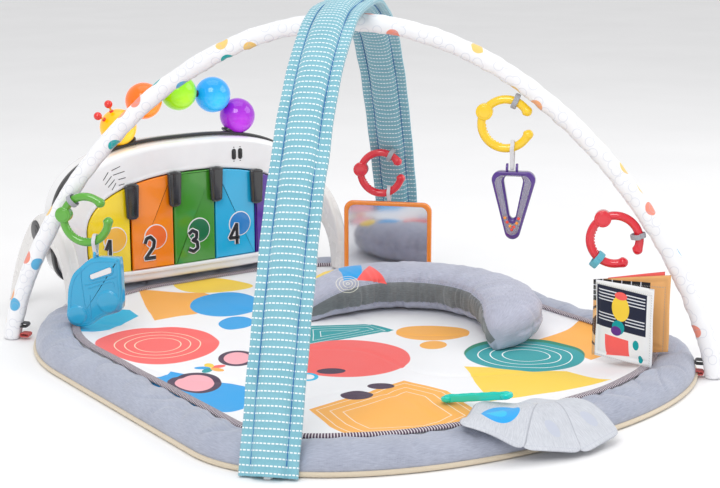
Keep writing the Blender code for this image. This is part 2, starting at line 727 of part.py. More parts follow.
def build_case(plastic):
    pivot = (PIANO_X, PIVOT_Y, PIVOT_Z)
    front = skin([body_ring(TRIM_FRONT - GAP), body_ring(0.378), body_ring(0.369, -0.002),
                  body_ring(FRONT_FACE, -0.006), bay_ring(FRONT_FACE), bay_ring(FRONT_FACE + WALL),
                  body_ring(FRONT_FACE + WALL, -0.008), body_ring(0.378, -WALL),
                  body_ring(TRIM_FRONT - GAP, -WALL)], looped=True)
    shell = finish("piano_front", mesh_from("piano_front", *front), plastic["white"], pivot)
    for k, x in enumerate(SWITCH_X):
        cut(shell, box((x - 0.0029, FRONT_FACE - 0.01, SWITCH_Z - 0.0072),
                       (x + 0.0029, FRONT_FACE + 0.01, SWITCH_Z + 0.0072)), f"switch_slot_{k}")

    trim = skin([body_ring(TRIM_FRONT, 0.0018), body_ring(TRIM_BACK, 0.0018), body_ring(TRIM_BACK, -WALL),
                 body_ring(TRIM_FRONT, -WALL)], looped=True)
    finish("piano_trim", mesh_from("piano_trim", *trim), plastic["black"], pivot)

    back = skin([body_ring(TRIM_BACK + GAP), body_ring(0.430, -0.001), body_ring(0.437, -0.005),
                 body_ring(BACK_FACE, -0.012)])
    shell = finish("piano_back", mesh_from("piano_back", *back), plastic["white"], pivot)
    hollow = skin([body_ring(TRIM_BACK - 0.01, -WALL), body_ring(0.428, -WALL - 0.001),
                   body_ring(BACK_FACE - WALL, -0.014)])
    cut(shell, hollow, "back_hollow")
    for side in (-1, 1):
        wall = (PIANO_X + side * BODY_HALF_WIDTH, PIVOT_Y, PIVOT_Z)
        hole = cylinder(wall, (1, 0, 0), PIVOT_RADIUS + 0.0004, 0.05)
        cut(shell, hole, f"pivot_hole_{side + 1}")
    door = box((PIANO_X - 0.050, BACK_FACE + GAP, 0.085), (PIANO_X + 0.050, BACK_FACE + 0.0023, 0.150))
    finish("battery_door", mesh_from("battery_door", *door), plastic["white"], (PIANO_X, PIVOT_Y, PIVOT_Z))


SWITCH_X = (PIANO_X + 0.069, PIANO_X + 0.080)
SWITCH_Z = 0.2135


def build_keys(plastic):
    colours = ("yellow", "orange", "green", "cyan", "purple")
    first = -KEY_COUNT * KEY_PITCH / 2
    for k in range(KEY_COUNT):
        low = max(first + k * KEY_PITCH, -BAY_HALF_WIDTH + 0.0008) + 0.0003
        high = min(first + (k + 1) * KEY_PITCH, BAY_HALF_WIDTH - 0.0008) - 0.0003
        x = low + (high - low) * (1 - np.cos(np.linspace(0, math.pi, 9))) / 2
        outline = np.vstack([np.column_stack([x, bay_limit(x, False, 0.0015)]),
                             np.column_stack([x[::-1], bay_limit(x[::-1], True, 0.0015)])])
        outline[:, 0] += PIANO_X
        slab = prism(outline, KEY_FRONT, KEY_FRONT + KEY_THICKNESS, 1)
        name = f"key_{k + 1}"
        middle = (PIANO_X + (low + high) / 2, KEY_FRONT, PIANO_MID_Z)
        finish(name, mesh_from(name, *slab), plastic[colours[k]], middle)

    for k in range(1, KEY_COUNT):
        x = PIANO_X + first + k * KEY_PITCH
        top = bay_limit(x - PIANO_X, True, 0.0) + 0.0040
        low = top - 0.0540
        outline = [(x - 0.0092, low + 0.003), (x - 0.0070, low), (x + 0.0070, low), (x + 0.0092, low + 0.003),
                   (x + 0.0115, top), (x - 0.0115, top)]
        name = f"black_key_{k}"
        raised = prism(outline, 0.3575, FRONT_FACE - GAP, 1)
        finish(name, mesh_from(name, *raised), plastic["black"], (PIANO_X, PIVOT_Y, PIVOT_Z))


def build_inside(plastic):
    pivot = (PIANO_X, PIVOT_Y, PIVOT_Z)
    board = box((PIANO_X - 0.150, 0.3790, 0.068), (PIANO_X + 0.150, 0.3806, 0.140))
    finish("circuit_board", mesh_from("circuit_board", *board), plastic["board"], pivot)
    rings = []
    for y, radius in ((0.3700, 0.0140), (0.3740, 0.0140), (0.3810, 0.0090), (0.3920, 0.0090)):
        ring = circle(radius, 12)
        rings.append(np.column_stack([ring[:, 0] + PIANO_X - 0.118, np.full(12, y), ring[:, 1] + 0.2060]))
    finish("speaker", mesh_from("speaker", *skin(rings)), plastic["black"], pivot)
    for name, x in zip(("volume_switch", "mode_switch"), SWITCH_X):
        slider = box((x - 0.0025, FRONT_FACE - 0.0024, SWITCH_Z - 0.0040),
                     (x + 0.0025, FRONT_FACE + 0.006, SWITCH_Z + 0.0040))
        finish(name, mesh_from(name, *slider), plastic["black"], (x, FRONT_FACE, SWITCH_Z))


BALLS = (("light_ball_1", -0.1005, 0.2642, "yellow"), ("light_ball_2", -0.0580, 0.2995, "orange"),
         ("light_ball_3", 0.0, 0.3075, "lime"), ("light_ball_4", 0.0580, 0.2995, "cyan"),
         ("light_ball_5", 0.1005, 0.2642, "purple"))


def build_lights(plastic):
    for name, x, z, colour in BALLS:
        body = ball((PIANO_X + x, BALL_Y, z), BALL_RADIUS)
        made = finish(name, mesh_from(name, *body), plastic[colour], (PIANO_X, PIVOT_Y, PIVOT_Z))
        if name == "light_ball_1":
            head = made
    middle = Vector((PIANO_X + BALLS[0][1], BALL_Y, BALLS[0][2]))
    for k, lean in enumerate((Vector((-0.86, -0.10, 0.50)), Vector((-0.42, -0.10, 0.90)))):
        lean = lean.normalized()
        reaches = (-0.004, 0.004, 0.007, 0.011, 0.015, 0.017)
        path = np.array([middle + lean * (BALL_RADIUS + along) for along in reaches])
        swell = np.array([0.3, 0.25, 0.8, 1.0, 0.8, 0.2])
        feeler = skin(sweep_rings(path, circle(0.0062, 8), (0, 1, 0), swell))
        cut(head, feeler, f"feeler_{k}", "UNION")


LEG_OUTER = ((0.296, 0.0), (0.299, 0.045), (0.312, 0.092), (0.335, 0.130), (0.364, 0.152), (0.402, 0.152),
             (0.440, 0.132), (0.478, 0.092), (0.508, 0.046), (0.528, 0.0))
LEG_INNER = ((0.326, 0.0), (0.330, 0.035), (0.341, 0.064), (0.357, 0.084), (0.374, 0.094), (0.396, 0.094),
             (0.420, 0.083), (0.446, 0.058), (0.474, 0.028), (0.494, 0.0))
STAND_TOP = 0.152
LEG_THICKNESS = 0.017


def build_stand(plastic):
    """Two arched side stands; the front foot of each rests on the mat, so its tip is higher."""
    for name, side, front_z in (("stand_leg_left", -1, RIM_TOP + GAP), ("stand_leg_right", 1, 0.0282)):
        outline = []
        for y, z in LEG_OUTER + LEG_INNER[::-1]:
            floor = front_z if y < 0.40 else 0.0
            outline.append((y, floor + z * (1 - floor / STAND_TOP)))
        inner = PIANO_X + side * (BODY_HALF_WIDTH + 0.003)
        outer = inner + side * LEG_THICKNESS
        slab = prism(outline, min(inner, outer), max(inner, outer), 0)
        leg = finish(name, mesh_from(name, *slab), plastic["white"], (inner, PIVOT_Y, PIVOT_Z))
        reach = PIANO_X + side * (BODY_HALF_WIDTH - 0.0085)
        pin_middle = ((reach + outer - side * 0.004) / 2, PIVOT_Y, PIVOT_Z)
        pin = cylinder(pin_middle, (1, 0, 0), PIVOT_RADIUS, abs(outer - side * 0.004 - reach))
        cut(leg, pin, name + "_trunnion", "UNION")


def main():
    clear_scene()
    cloth = {
        "cream": material("cream binding", (0.86, 0.85, 0.78), 0.9),
        "print": material("printed pad", (0.90, 0.90, 0.90), 0.9),
        "grey": material("heather grey", (0.50, 0.52, 0.58), 0.95),
        "stripe": material("striped piping", (0.20, 0.15, 0.20), 0.9),
        "white_print": material("printed sleeve", (0.86, 0.87, 0.88), 0.9),
        "aqua": material("aqua strap", (0.30, 0.66, 0.78), 0.9),
        "webbing_grey": material("grey webbing", (0.50, 0.50, 0.52), 0.9),
        "webbing_white": material("white webbing", (0.88, 0.88, 0.88), 0.9),
        "page_dark": material("dark page", (0.10, 0.10, 0.14), 0.9),
        "page_tan": material("tan page", (0.80, 0.55, 0.28), 0.9),
        "page_coral": material("coral page", (0.85, 0.33, 0.33), 0.9),
        "ribbon": material("cyan ribbon", (0.25, 0.68, 0.75), 0.8),
        "card": material("card", (0.78, 0.78, 0.80), 0.8),
    }
    plastic = {
        "tube": material("tube", (0.35, 0.36, 0.38), 0.4),
        "green": material("green", (0.16, 0.50, 0.08), 0.3),
        "yellow": material("yellow", (0.95, 0.72, 0.02), 0.3),
        "red": material("red", (0.85, 0.03, 0.03), 0.3),
        "cyan": material("cyan", (0.03, 0.48, 0.75), 0.3),
        "purple": material("purple", (0.20, 0.03, 0.42), 0.3),
        "orange": material("orange", (0.95, 0.35, 0.02), 0.3),
        "lime": material("lime", (0.45, 0.85, 0.05), 0.3),
        "teal": material("teal", (0.03, 0.65, 0.55), 0.3),
        "clear": material("clear", (0.85, 0.82, 0.85), 0.1, 0.0, 0.4),
        "mirror": material("mirror", (0.85, 0.85, 0.85), 0.05, 1.0),
        "white": material("white", (0.88, 0.88, 0.88), 0.2),
        "black": material("black", (0.01, 0.01, 0.01), 0.15),
        "board": material("board", (0.02, 0.25, 0.08), 0.5),
    }
    build_mat(cloth)
    build_arches(cloth, plastic)
    build_toys(cloth, plastic)
    build_pillow(cloth)
    build_cards(cloth, plastic)
    build_case(plastic)
    build_keys(plastic)
    build_inside(plastic)
    build_lights(plastic)
    build_stand(plastic)


main()
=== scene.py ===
"""Looks of the activity play gym: stuffed mat, printed sleeve, stitched strap, hanging toys, book, pillow
and piano.

Metres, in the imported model's frame: the origin is the mat's centre on the floor and +Y points at the piano.
"""
import math

import bmesh
import bpy
import numpy as np
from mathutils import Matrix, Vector


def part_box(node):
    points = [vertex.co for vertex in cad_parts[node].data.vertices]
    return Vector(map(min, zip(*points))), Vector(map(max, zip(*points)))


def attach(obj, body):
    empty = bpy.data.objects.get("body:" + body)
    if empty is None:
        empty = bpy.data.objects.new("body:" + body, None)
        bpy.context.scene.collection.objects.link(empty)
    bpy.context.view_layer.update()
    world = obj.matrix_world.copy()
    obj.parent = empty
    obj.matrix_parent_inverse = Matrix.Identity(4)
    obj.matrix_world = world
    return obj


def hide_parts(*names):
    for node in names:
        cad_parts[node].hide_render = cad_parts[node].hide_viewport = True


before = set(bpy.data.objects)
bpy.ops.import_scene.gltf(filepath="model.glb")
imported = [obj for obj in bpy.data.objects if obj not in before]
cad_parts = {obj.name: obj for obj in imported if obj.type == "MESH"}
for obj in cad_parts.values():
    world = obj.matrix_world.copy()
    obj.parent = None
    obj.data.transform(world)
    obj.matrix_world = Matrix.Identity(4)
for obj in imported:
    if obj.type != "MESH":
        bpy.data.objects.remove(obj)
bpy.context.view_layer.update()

# ---------------------------------------------------------------- camera

CAMERA_PLACE = Vector((-1.17824, -1.71383, 0.63010))
CAMERA_AIM = Vector((0.55808, 0.79875, -0.22481))
CAMERA_LENS = 81.243

camera = bpy.data.objects.new("camera", bpy.data.cameras.new("camera"))
bpy.context.scene.collection.objects.link(camera)
camera.location = CAMERA_PLACE
camera.rotation_euler = CAMERA_AIM.to_track_quat("-Z", "Y").to_euler()
camera.data.lens = CAMERA_LENS
bpy.context.scene.camera = camera
bpy.context.scene.view_settings.view_transform = "Standard"

# ---------------------------------------------------------------- meshes


def solid_mesh(name, points, faces, uv=None):
    """A mesh from arrays of points and faces, with its faces turned outwards and one UV pair for each face
    corner."""
    mesh = bpy.data.meshes.new(name)
    mesh.from_pydata(points, [], faces)
    if uv is not None:
        layer = mesh.uv_layers.new(name="UVMap")
        layer.data.foreach_set("uv", np.asarray(uv, np.float32).ravel())
    work = bmesh.new()
    work.from_mesh(mesh)
    bmesh.ops.recalc_face_normals(work, faces=work.faces)
    work.to_mesh(mesh)
    work.free()
    mesh.shade_smooth()
    for face in mesh.polygons:
        if len(face.vertices) > 4:
            face.use_smooth = False
    return mesh


def grid_faces(rows, columns, wrap_rows, wrap_columns):
    """Quads between neighbouring points of a grid, with the row and column numbers of each corner before
    wrapping."""
    r = np.arange(rows if wrap_rows else rows - 1)
    c = np.arange(columns if wrap_columns else columns - 1)
    r, c = (a.ravel() for a in np.meshgrid(r, c, indexing="ij"))
    corner_r = np.stack([r, r, r + 1, r + 1], 1)
    corner_c = np.stack([c, c + 1, c + 1, c], 1)
    return (corner_r % rows) * columns + corner_c % columns, corner_r, corner_c


def surface(points, u=None, v=None, wrap_rows=False, wrap_columns=False, caps=False):
    """Points on a grid of rows and columns made into faces; caps close the first and last row with a middle
    point.

    u and v are lengths along the rows and columns, one more than the grid where it wraps.
    """
    points = np.asarray(points, float)
    rows, columns = points.shape[:2]
    faces, corner_r, corner_c = grid_faces(rows, columns, wrap_rows, wrap_columns)
    u = np.arange(rows + 1) / rows if u is None else np.asarray(u, float)
    v = np.arange(columns + 1) / columns if v is None else np.asarray(v, float)
    uv = np.stack([u[corner_r], v[corner_c]], -1).reshape(-1, 2)
    flat = points.reshape(-1, 3)
    faces = faces.tolist()
    if caps:
        for row in (0, rows - 1):
            middle = len(flat)
            flat = np.vstack([flat, points[row].mean(0)])
            ring = row * columns + np.arange(columns)
            fan = np.stack([ring, np.roll(ring, -1), np.full(columns, middle)], 1)
            faces += fan.tolist()
            step = np.stack([v[:columns], v[1:columns + 1], v[:columns]], 1)
            uv = np.vstack([uv, np.stack([np.full_like(step, u[row]), step], -1).reshape(-1, 2)])
    return flat, faces, uv


def together(parts):
    """Several surfaces as one set of points, faces and UVs."""
    start = 0
    points, faces, uv = [], [], []
    for part_points, part_faces, part_uv in parts:
        points.append(part_points)
        faces += [[start + k for k in face] for face in part_faces]
        uv.append(part_uv)
        start += len(part_points)
    return np.vstack(points), faces, np.vstack(uv)


def piece(name, parts, body, finish, stands_for=(), sharp=None, flat=None):
    """One finished object from a surface or a list of surfaces, riding on a body.

    flat is (origin, u axis, v axis) where the UV map is a plain projection along those axes, in metres.
    """
    points, faces, uv = together(parts) if isinstance(parts, list) else parts
    if flat:
        corners = points[np.concatenate([np.asarray(face) for face in faces])] - np.asarray(flat[0], float)
        uv = np.column_stack([corners @ np.asarray(flat[1], float), corners @ np.asarray(flat[2], float)])
    mesh = solid_mesh(name, points, faces, uv)
    if sharp:
        mesh.set_sharp_from_angle(angle=math.radians(sharp))
    made = bpy.data.objects.new(name, mesh)
    bpy.context.scene.collection.objects.link(made)
    mesh.materials.append(finish)
    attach(made, body)
    if stands_for:
        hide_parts(*stands_for)
    return made


def lengths(path, closed=False):
    """Length along a path at each of its points, and at the end of its closing step."""
    steps = np.linalg.norm(np.diff(np.vstack([path, path[:1]]) if closed else path, axis=0), axis=1)
    return np.concatenate([[0], np.cumsum(steps)])


def path_frames(path, sideways, closed=False):
    """Side and normal at each point: the side is the given direction made square to the path."""
    if closed:
        tangent = np.roll(path, -1, 0) - np.roll(path, 1, 0)
    else:
        tangent = np.gradient(path, axis=0)
    tangent /= np.linalg.norm(tangent, axis=1)[:, None]
    side = sideways - tangent * np.sum(tangent * sideways, axis=1)[:, None]
    side /= np.linalg.norm(side, axis=1)[:, None]
    return side, np.cross(tangent, side)


def carried(path, section, sideways, scale=1.0, closed=False):
    """A section of (side, normal) points carried along a path; scale is one number or one for each path
    point."""
    path = np.asarray(path, float)
    side, normal = path_frames(path, np.asarray(sideways, float), closed)
    scale = np.broadcast_to(scale, len(path))[:, None, None]
    section = np.broadcast_to(section, (len(path), *np.shape(section)[-2:]))
    return path[:, None] + scale * (section[..., :1] * side[:, None] + section[..., 1:] * normal[:, None])


def signed_power(value, power):
    """A power of the size of each value, which keeps its sign."""
    return np.sign(value) * np.abs(value) ** power


def round_section(radius, sides=16):
    """Circle of section points."""
    turn = np.arange(sides) * 2 * math.pi / sides
    return radius * np.column_stack([np.cos(turn), np.sin(turn)])


def soft_box(half_width, half_height, power=4.0, sides=32):
    """Section of a box with round edges: a superellipse of the given power."""
    turn = (np.arange(sides) + 0.5) * 2 * math.pi / sides
    c, s = np.cos(turn), np.sin(turn)
    return np.column_stack([half_width * signed_power(c, 2 / power),
                            half_height * signed_power(s, 2 / power)])


def rod(path, radius, sideways=(0.31, 0.17, 0.93), sides=16):
    """Round bar along a path that ends in quarter circles; dense(path, count, radius) puts close steps at
    the ends."""
    path = np.asarray(path, float)
    along = lengths(path)
    tip = np.minimum(along, along[-1] - along)
    size = np.ones(len(path))
    near = tip < radius
    size[near] = np.sqrt(np.clip(1 - (1 - tip[near] / radius) ** 2, 0.01, 1))
    around = np.linspace(0, 2 * math.pi * radius, sides + 1)
    return surface(carried(path, round_section(radius, sides), sideways, size), along, around,
                   wrap_columns=True, caps=True)


def dense(path, count, radius=0.0):
    """A path resampled evenly; with a radius, close steps are put at both ends for round tips."""
    path = np.asarray(path, float)
    along = lengths(path)
    at = np.linspace(0, along[-1], count)
    if radius:
        tip = radius * (1 - np.cos(np.linspace(0, math.pi / 2, 7)))
        at = np.concatenate([tip, at[(at > radius * 1.1) & (at < along[-1] - radius * 1.1)],
                             along[-1] - tip[::-1]])
    return np.column_stack([np.interp(at, along, path[:, k]) for k in range(path.shape[1])])


def ball(centre, radius, rows=24, columns=32):
    """Sphere of rings about Z."""
    tilt = np.linspace(-math.pi / 2 + 0.02, math.pi / 2 - 0.02, rows)[:, None]
    turn = np.arange(columns)[None] * 2 * math.pi / columns
    points = np.stack([np.cos(tilt) * np.cos(turn), np.cos(tilt) * np.sin(turn),
                       np.broadcast_to(np.sin(tilt), (rows, columns))], -1)
    return surface(points * radius + np.asarray(centre, float), wrap_columns=True, caps=True)


def disc(centre, axis, radius, thickness, edge, sides=40):
    """Flat round button with rounded edges, turned about an axis through its centre."""
    axis = Vector(axis).normalized()
    side = axis.orthogonal().normalized()
    other = axis.cross(side)
    turn = np.arange(sides) * 2 * math.pi / sides
    ring = np.cos(turn)[:, None] * np.array(side) + np.sin(turn)[:, None] * np.array(other)
    round_off = np.linspace(0, math.pi / 2, 6)
    size = np.concatenate([radius - edge + edge * np.sin(round_off),
                           (radius - edge + edge * np.sin(round_off))[::-1]])
    lift = thickness / 2 - edge + edge * np.cos(round_off)
    height = np.concatenate([-lift, lift[::-1]])
    points = size[:, None, None] * ring[None] + height[:, None, None] * np.array(axis) + np.asarray(centre,
                                                                                                    float)
    return surface(points, wrap_columns=True, caps=True)


def inward_of(outline):
    """Unit normals of a closed anticlockwise outline: each is square to the line between the point's
    neighbours."""
    step = np.roll(outline, -1, 0) - np.roll(outline, 1, 0)
    step /= np.linalg.norm(step, axis=1)[:, None]
    return np.column_stack([-step[:, 1], step[:, 0]])


def offset(outline, amount):
    """A closed anticlockwise outline moved inwards along its own normals."""
    return outline + inward_of(outline) * amount


def slab(outline, place, low, high, edge, steps=6):
    """Outline made solid between two depths with quarter-round edges; place(outline, depth) gives the
    points."""
    turn = np.linspace(0, math.pi / 2, steps)
    insets = np.concatenate([edge * (1 - np.sin(turn)), edge * (1 - np.sin(turn[::-1]))])
    depths = np.concatenate([low + edge * (1 - np.cos(turn)), high - edge * (1 - np.cos(turn[::-1]))])
    rings = np.array([place(offset(outline, inset), depth) for inset, depth in zip(insets, depths)])
    count = len(outline)
    flat, faces, uv = surface(rings, lengths(rings[:, 0]), lengths(outline, closed=True), wrap_columns=True)
    last = (len(rings) - 1) * count
    faces = faces + [list(range(count)), list(range(last, last + count))]
    return flat, faces, np.vstack([uv, outline, outline])


def ring_slab(outer, inner, place, low, high, power=5.0, sides=28):
    """Frame between two outlines of equal count: a superellipse section spans the width and the depth."""
    section = soft_box(0.5, 0.5, power, sides)
    rings = [place(inner + (outer - inner) * (a + 0.5), (low + high) / 2 + (high - low) * b) for a,
             b in section]
    rings = np.transpose(np.array(rings), (1, 0, 2))
    return surface(rings, lengths(outer, closed=True), np.arange(sides + 1) * 0.002, wrap_rows=True,
                   wrap_columns=True)


def rounded_polygon(corners, radii, steps=14):
    """Anticlockwise polygon whose corners are arcs that touch both sides."""
    corners = np.asarray(corners, float)
    points = []
    for before, here, after, radius in zip(np.roll(corners, 1, 0), corners, np.roll(corners, -1, 0), radii):
        a = (before - here) / np.linalg.norm(before - here)
        b = (after - here) / np.linalg.norm(after - here)
        half = math.acos(np.clip(np.dot(a, b), -1, 1)) / 2
        middle = here + (a + b) / np.linalg.norm(a + b) * radius / math.sin(half)
        start, end = here + a * radius / math.tan(half) - middle, here + b * radius / math.tan(half) - middle
        first = math.atan2(start[1], start[0])
        sweep = (math.atan2(end[1], end[0]) - first + math.pi) % (2 * math.pi) - math.pi
        turn = first + sweep * np.linspace(0, 1, steps)
        points.append(middle + radius * np.column_stack([np.cos(turn), np.sin(turn)]))
    return resampled(np.vstack(points), 200)


def resampled(outline, count):
    """Closed outline with evenly spaced points."""
    along = lengths(outline, closed=True)
    at = np.linspace(0, along[-1], count, endpoint=False)
    whole = np.vstack([outline, outline[:1]])
    return np.column_stack([np.interp(at, along, whole[:, k]) for k in range(outline.shape[1])])


def spline(a, b, c, d, steps):
    """Catmull-Rom curve from points b to points c, whose neighbours are a and d, at the given steps from 0
    to 1."""
    t = steps[None, :, None]
    return 0.5 * (2 * b + (c - a) * t + (2 * a - 5 * b + 4 * c - d) * t ** 2
                  + (3 * b - a - 3 * c + d) * t ** 3)


def smooth_closed(points, count):
    """Closed curve through a few points: a Catmull-Rom spline, resampled evenly."""
    points = np.asarray(points, float)
    curve = spline(*(np.roll(points, k, 0)[:, None] for k in (1, 0, -1, -2)),
                   np.linspace(0, 1, 24, endpoint=False))
    return resampled(curve.reshape(-1, points.shape[1]), count)


def ripple(a, b, seed, waves=7):
    """Soft creases between -1 and 1: a sum of sine waves over two lengths, with fixed random headings and
    phases."""
    random = np.random.default_rng(seed)
    total = 0.0
    for _ in range(waves):
        heading, phase = random.uniform(0, 2 * math.pi, 2)
        pitch = random.uniform(0.6, 1.8)
        total = total + np.sin((a * math.cos(heading) + b * math.sin(heading)) * pitch + phase)
    return total / waves ** 0.5 / 1.4


# ---------------------------------------------------------------- shader groups

class Tree:
    """Short ways to add and link nodes in one node tree."""

    def __init__(self, tree):
        self.tree = tree

    def node(self, kind, **values):
        made = self.tree.nodes.new(kind)
        for key, value in values.items():
            setattr(made, key, value)
        return made

    def put(self, socket, value):
        if isinstance(value, bpy.types.NodeSocket):
            self.tree.links.new(value, socket)
        elif value is not None:
            socket.default_value = value

    def math(self, operation, a, b=None, clamp=False):
        made = self.node("ShaderNodeMath", operation=operation, use_clamp=clamp)
        for socket, value in zip(made.inputs, (a, b)):
            self.put(socket, value)
        return made.outputs[0]

    def plus(self, a, b, clamp=False):
        return self.math("ADD", a, b, clamp)

    def minus(self, a, b):
        return self.math("SUBTRACT", a, b)

    def rest(self, value):
        """What is left of 1 after a value."""
        return self.math("SUBTRACT", 1.0, value)

    def times(self, a, b, clamp=False):
        return self.math("MULTIPLY", a, b, clamp)

    def over(self, a, b):
        return self.math("DIVIDE", a, b)

    def vector(self, operation, a, b=None):
        made = self.node("ShaderNodeVectorMath", operation=operation)
        self.put(made.inputs[0], a)
        self.put(made.inputs[1], b)
        return made.outputs["Value" if operation in ("LENGTH", "DOT_PRODUCT", "DISTANCE") else "Vector"]

    def split(self, vector):
        made = self.node("ShaderNodeSeparateXYZ")
        self.put(made.inputs[0], vector)
        return made.outputs

    def join(self, x, y, z=0.0):
        made = self.node("ShaderNodeCombineXYZ")
        for socket, value in zip(made.inputs, (x, y, z)):
            self.put(socket, value)
        return made.outputs[0]

    def mix(self, share, a, b):
        made = self.node("ShaderNodeMix", data_type="RGBA")
        for socket, value in zip((made.inputs[0], made.inputs[6], made.inputs[7]), (share, a, b)):
            self.put(socket, value)
        return made.outputs[2]

    def noise(self, vector, scale, detail=3.0, roughness=0.55):
        made = self.node("ShaderNodeTexNoise")
        self.put(made.inputs["Vector"], vector)
        made.inputs["Scale"].default_value = scale
        made.inputs["Detail"].default_value = detail
        made.inputs["Roughness"].default_value = roughness
        return made.outputs["Fac"]

    def step(self, value, edge, width):
        """0 below the edge and 1 above it, over a soft width."""
        made = self.node("ShaderNodeMapRange", interpolation_type="SMOOTHSTEP")
        self.put(made.inputs[0], value)
        self.put(made.inputs[1], edge - width / 2)
        self.put(made.inputs[2], edge + width / 2)
        return made.outputs[0]

    def stripe(self, value, pitch, share):
        """Repeating stripes: 1 over the given share of each pitch."""
        part = self.math("FRACT", self.over(value, pitch))
        away = self.math("ABSOLUTE", self.minus(part, 0.5))
        return self.rest(self.step(away, share / 2, 0.08))


def group(name, inputs, outputs, build):
    """A node group with named sockets; build(tree, inputs) returns its outputs."""
    tree = bpy.data.node_groups.new(name, "ShaderNodeTree")
    for socket, kind, value in inputs:
        made = tree.interface.new_socket(socket, in_out="INPUT", socket_type=kind)
        if value is not None:
            made.default_value = value
    for socket, kind in outputs:
        tree.interface.new_socket(socket, in_out="OUTPUT", socket_type=kind)
    t = Tree(tree)
    entry = t.node("NodeGroupInput")
    leave = t.node("NodeGroupOutput")
    for socket, value in zip(leave.inputs, build(t, entry.outputs)):
        t.put(socket, value)
    return tree


def use(t, tree, **values):
    """A group placed in a material; underscores in the names stand for spaces."""
    made = t.node("ShaderNodeGroup", node_tree=tree)
    for key, value in values.items():
        t.put(made.inputs[key.replace("_", " ")], value)
    return made.outputs


FLOAT, VECTOR, COLOUR = "NodeSocketFloat", "NodeSocketVector", "NodeSocketColor"


def build_ellipse(t, inputs):
    """Distance from a centre in an ellipse's own turned axes, with a slightly uneven edge: below 1 is
    inside."""
    away = t.vector("SUBTRACT", inputs["Place"], inputs["Centre"])
    x, y, _ = t.split(away)
    c, s = t.math("COSINE", inputs["Turn"]), t.math("SINE", inputs["Turn"])
    along = t.plus(t.times(x, c), t.times(y, s))
    across = t.minus(t.times(y, c), t.times(x, s))
    reach = t.vector("LENGTH", t.join(t.over(along, inputs["Half Length"]),
                                      t.over(across, inputs["Half Width"])))
    wobble = t.minus(t.noise(inputs["Place"], 11.0, 1.0), 0.5)
    level = t.plus(reach, t.times(wobble, inputs["Wobble"]))
    inside = t.rest(t.step(level, 1.0, 0.02))
    return level, inside


def build_panel(t, inputs):
    """Turned and tapered box: each half-side is scaled by how far along the box a point lies."""
    away = t.vector("SUBTRACT", inputs["Place"], inputs["Centre"])
    x, y, _ = t.split(away)
    c, s = t.math("COSINE", inputs["Turn"]), t.math("SINE", inputs["Turn"])
    along = t.over(t.plus(t.times(x, c), t.times(y, s)), inputs["Half Length"])
    across = t.minus(t.times(y, c), t.times(x, s))
    taper = t.plus(1.0, t.times(along, inputs["Taper"]))
    across = t.over(across, t.times(inputs["Half Width"], taper))
    level = t.math("MAXIMUM", t.math("ABSOLUTE", along), t.math("ABSOLUTE", across))
    inside = t.rest(t.step(level, 1.0, 0.02))
    return level, inside


def build_edge(t, inputs):
    """How far a place lies to the left of a line between two points, in metres, with a slightly uneven
    edge."""
    away = t.vector("SUBTRACT", inputs["Place"], inputs["From"])
    x, y, _ = t.split(away)
    dx, dy, _ = t.split(t.vector("NORMALIZE", t.vector("SUBTRACT", inputs["To"], inputs["From"])))
    distance = t.minus(t.times(y, dx), t.times(x, dy))
    wobble = t.minus(t.noise(inputs["Place"], 16.0, 1.0), 0.5)
    return (t.plus(distance, t.times(wobble, 0.005)),)


def build_weave(t, inputs):
    """Fine crossing threads: two sine waves along the two lengths, broken up by noise."""
    x, y, _ = t.split(inputs["Place"])
    warp = t.math("SINE", t.times(x, inputs["Threads"]))
    weft = t.math("SINE", t.times(y, inputs["Threads"]))
    height = t.times(t.plus(warp, weft), 0.5)
    fuzz = t.noise(inputs["Place"], 900.0, 2.0)
    return t.plus(t.times(height, 0.6), t.times(fuzz, 0.8)), fuzz


def build_heather(t, inputs):
    """Mixed yarns: noise drawn out along one length, and slow shade changes."""
    x, y, z = t.split(inputs["Place"])
    drawn = t.join(t.times(x, 0.12), y, z)
    yarn = t.noise(drawn, 850.0, 3.0, 0.7)
    slow = t.noise(inputs["Place"], 22.0, 2.0)
    shade = t.plus(t.times(t.minus(yarn, 0.5), 1.5),
                   t.times(t.minus(slow, 0.5), 0.6))
    shade = t.plus(shade, 0.5, clamp=True)
    return t.mix(shade, inputs["Dark"], inputs["Light"]), yarn


def build_moulded(t, inputs):
    """Faint flow marks and fine orange-peel of moulded plastic, with lighter handled edges left to the
    gloss."""
    flow = t.noise(inputs["Place"], 35.0, 2.0)
    peel = t.noise(inputs["Place"], 420.0, 2.0)
    tint = t.mix(t.times(t.minus(flow, 0.35), 0.5, clamp=True), inputs["Colour"], inputs["Shade"])
    rough = t.plus(inputs["Gloss"], t.times(flow, 0.10))
    return tint, rough, peel


ELLIPSE = group("ellipse", [("Place", VECTOR, None), ("Centre", VECTOR, None), ("Half Length", FLOAT, 0.1),
                            ("Half Width", FLOAT, 0.1), ("Turn", FLOAT, 0.0), ("Wobble", FLOAT, 0.0)],
                [("Level", FLOAT), ("Inside", FLOAT)], build_ellipse)
PANEL = group("panel", [("Place", VECTOR, None), ("Centre", VECTOR, None), ("Half Length", FLOAT, 0.1),
                        ("Half Width", FLOAT, 0.1), ("Turn", FLOAT, 0.0), ("Taper", FLOAT, 0.0)],
              [("Level", FLOAT), ("Inside", FLOAT)], build_panel)
EDGE = group("edge", [("Place", VECTOR, None), ("From", VECTOR, None), ("To", VECTOR, None)],
             [("Distance", FLOAT)], build_edge)
WEAVE = group("weave", [("Place", VECTOR, None), ("Threads", FLOAT, 4000.0)],
              [("Height", FLOAT), ("Fuzz", FLOAT)], build_weave)
HEATHER = group("heather", [("Place", VECTOR, None), ("Dark", COLOUR, None), ("Light", COLOUR, None)],
                [("Colour", COLOUR), ("Yarn", FLOAT)], build_heather)
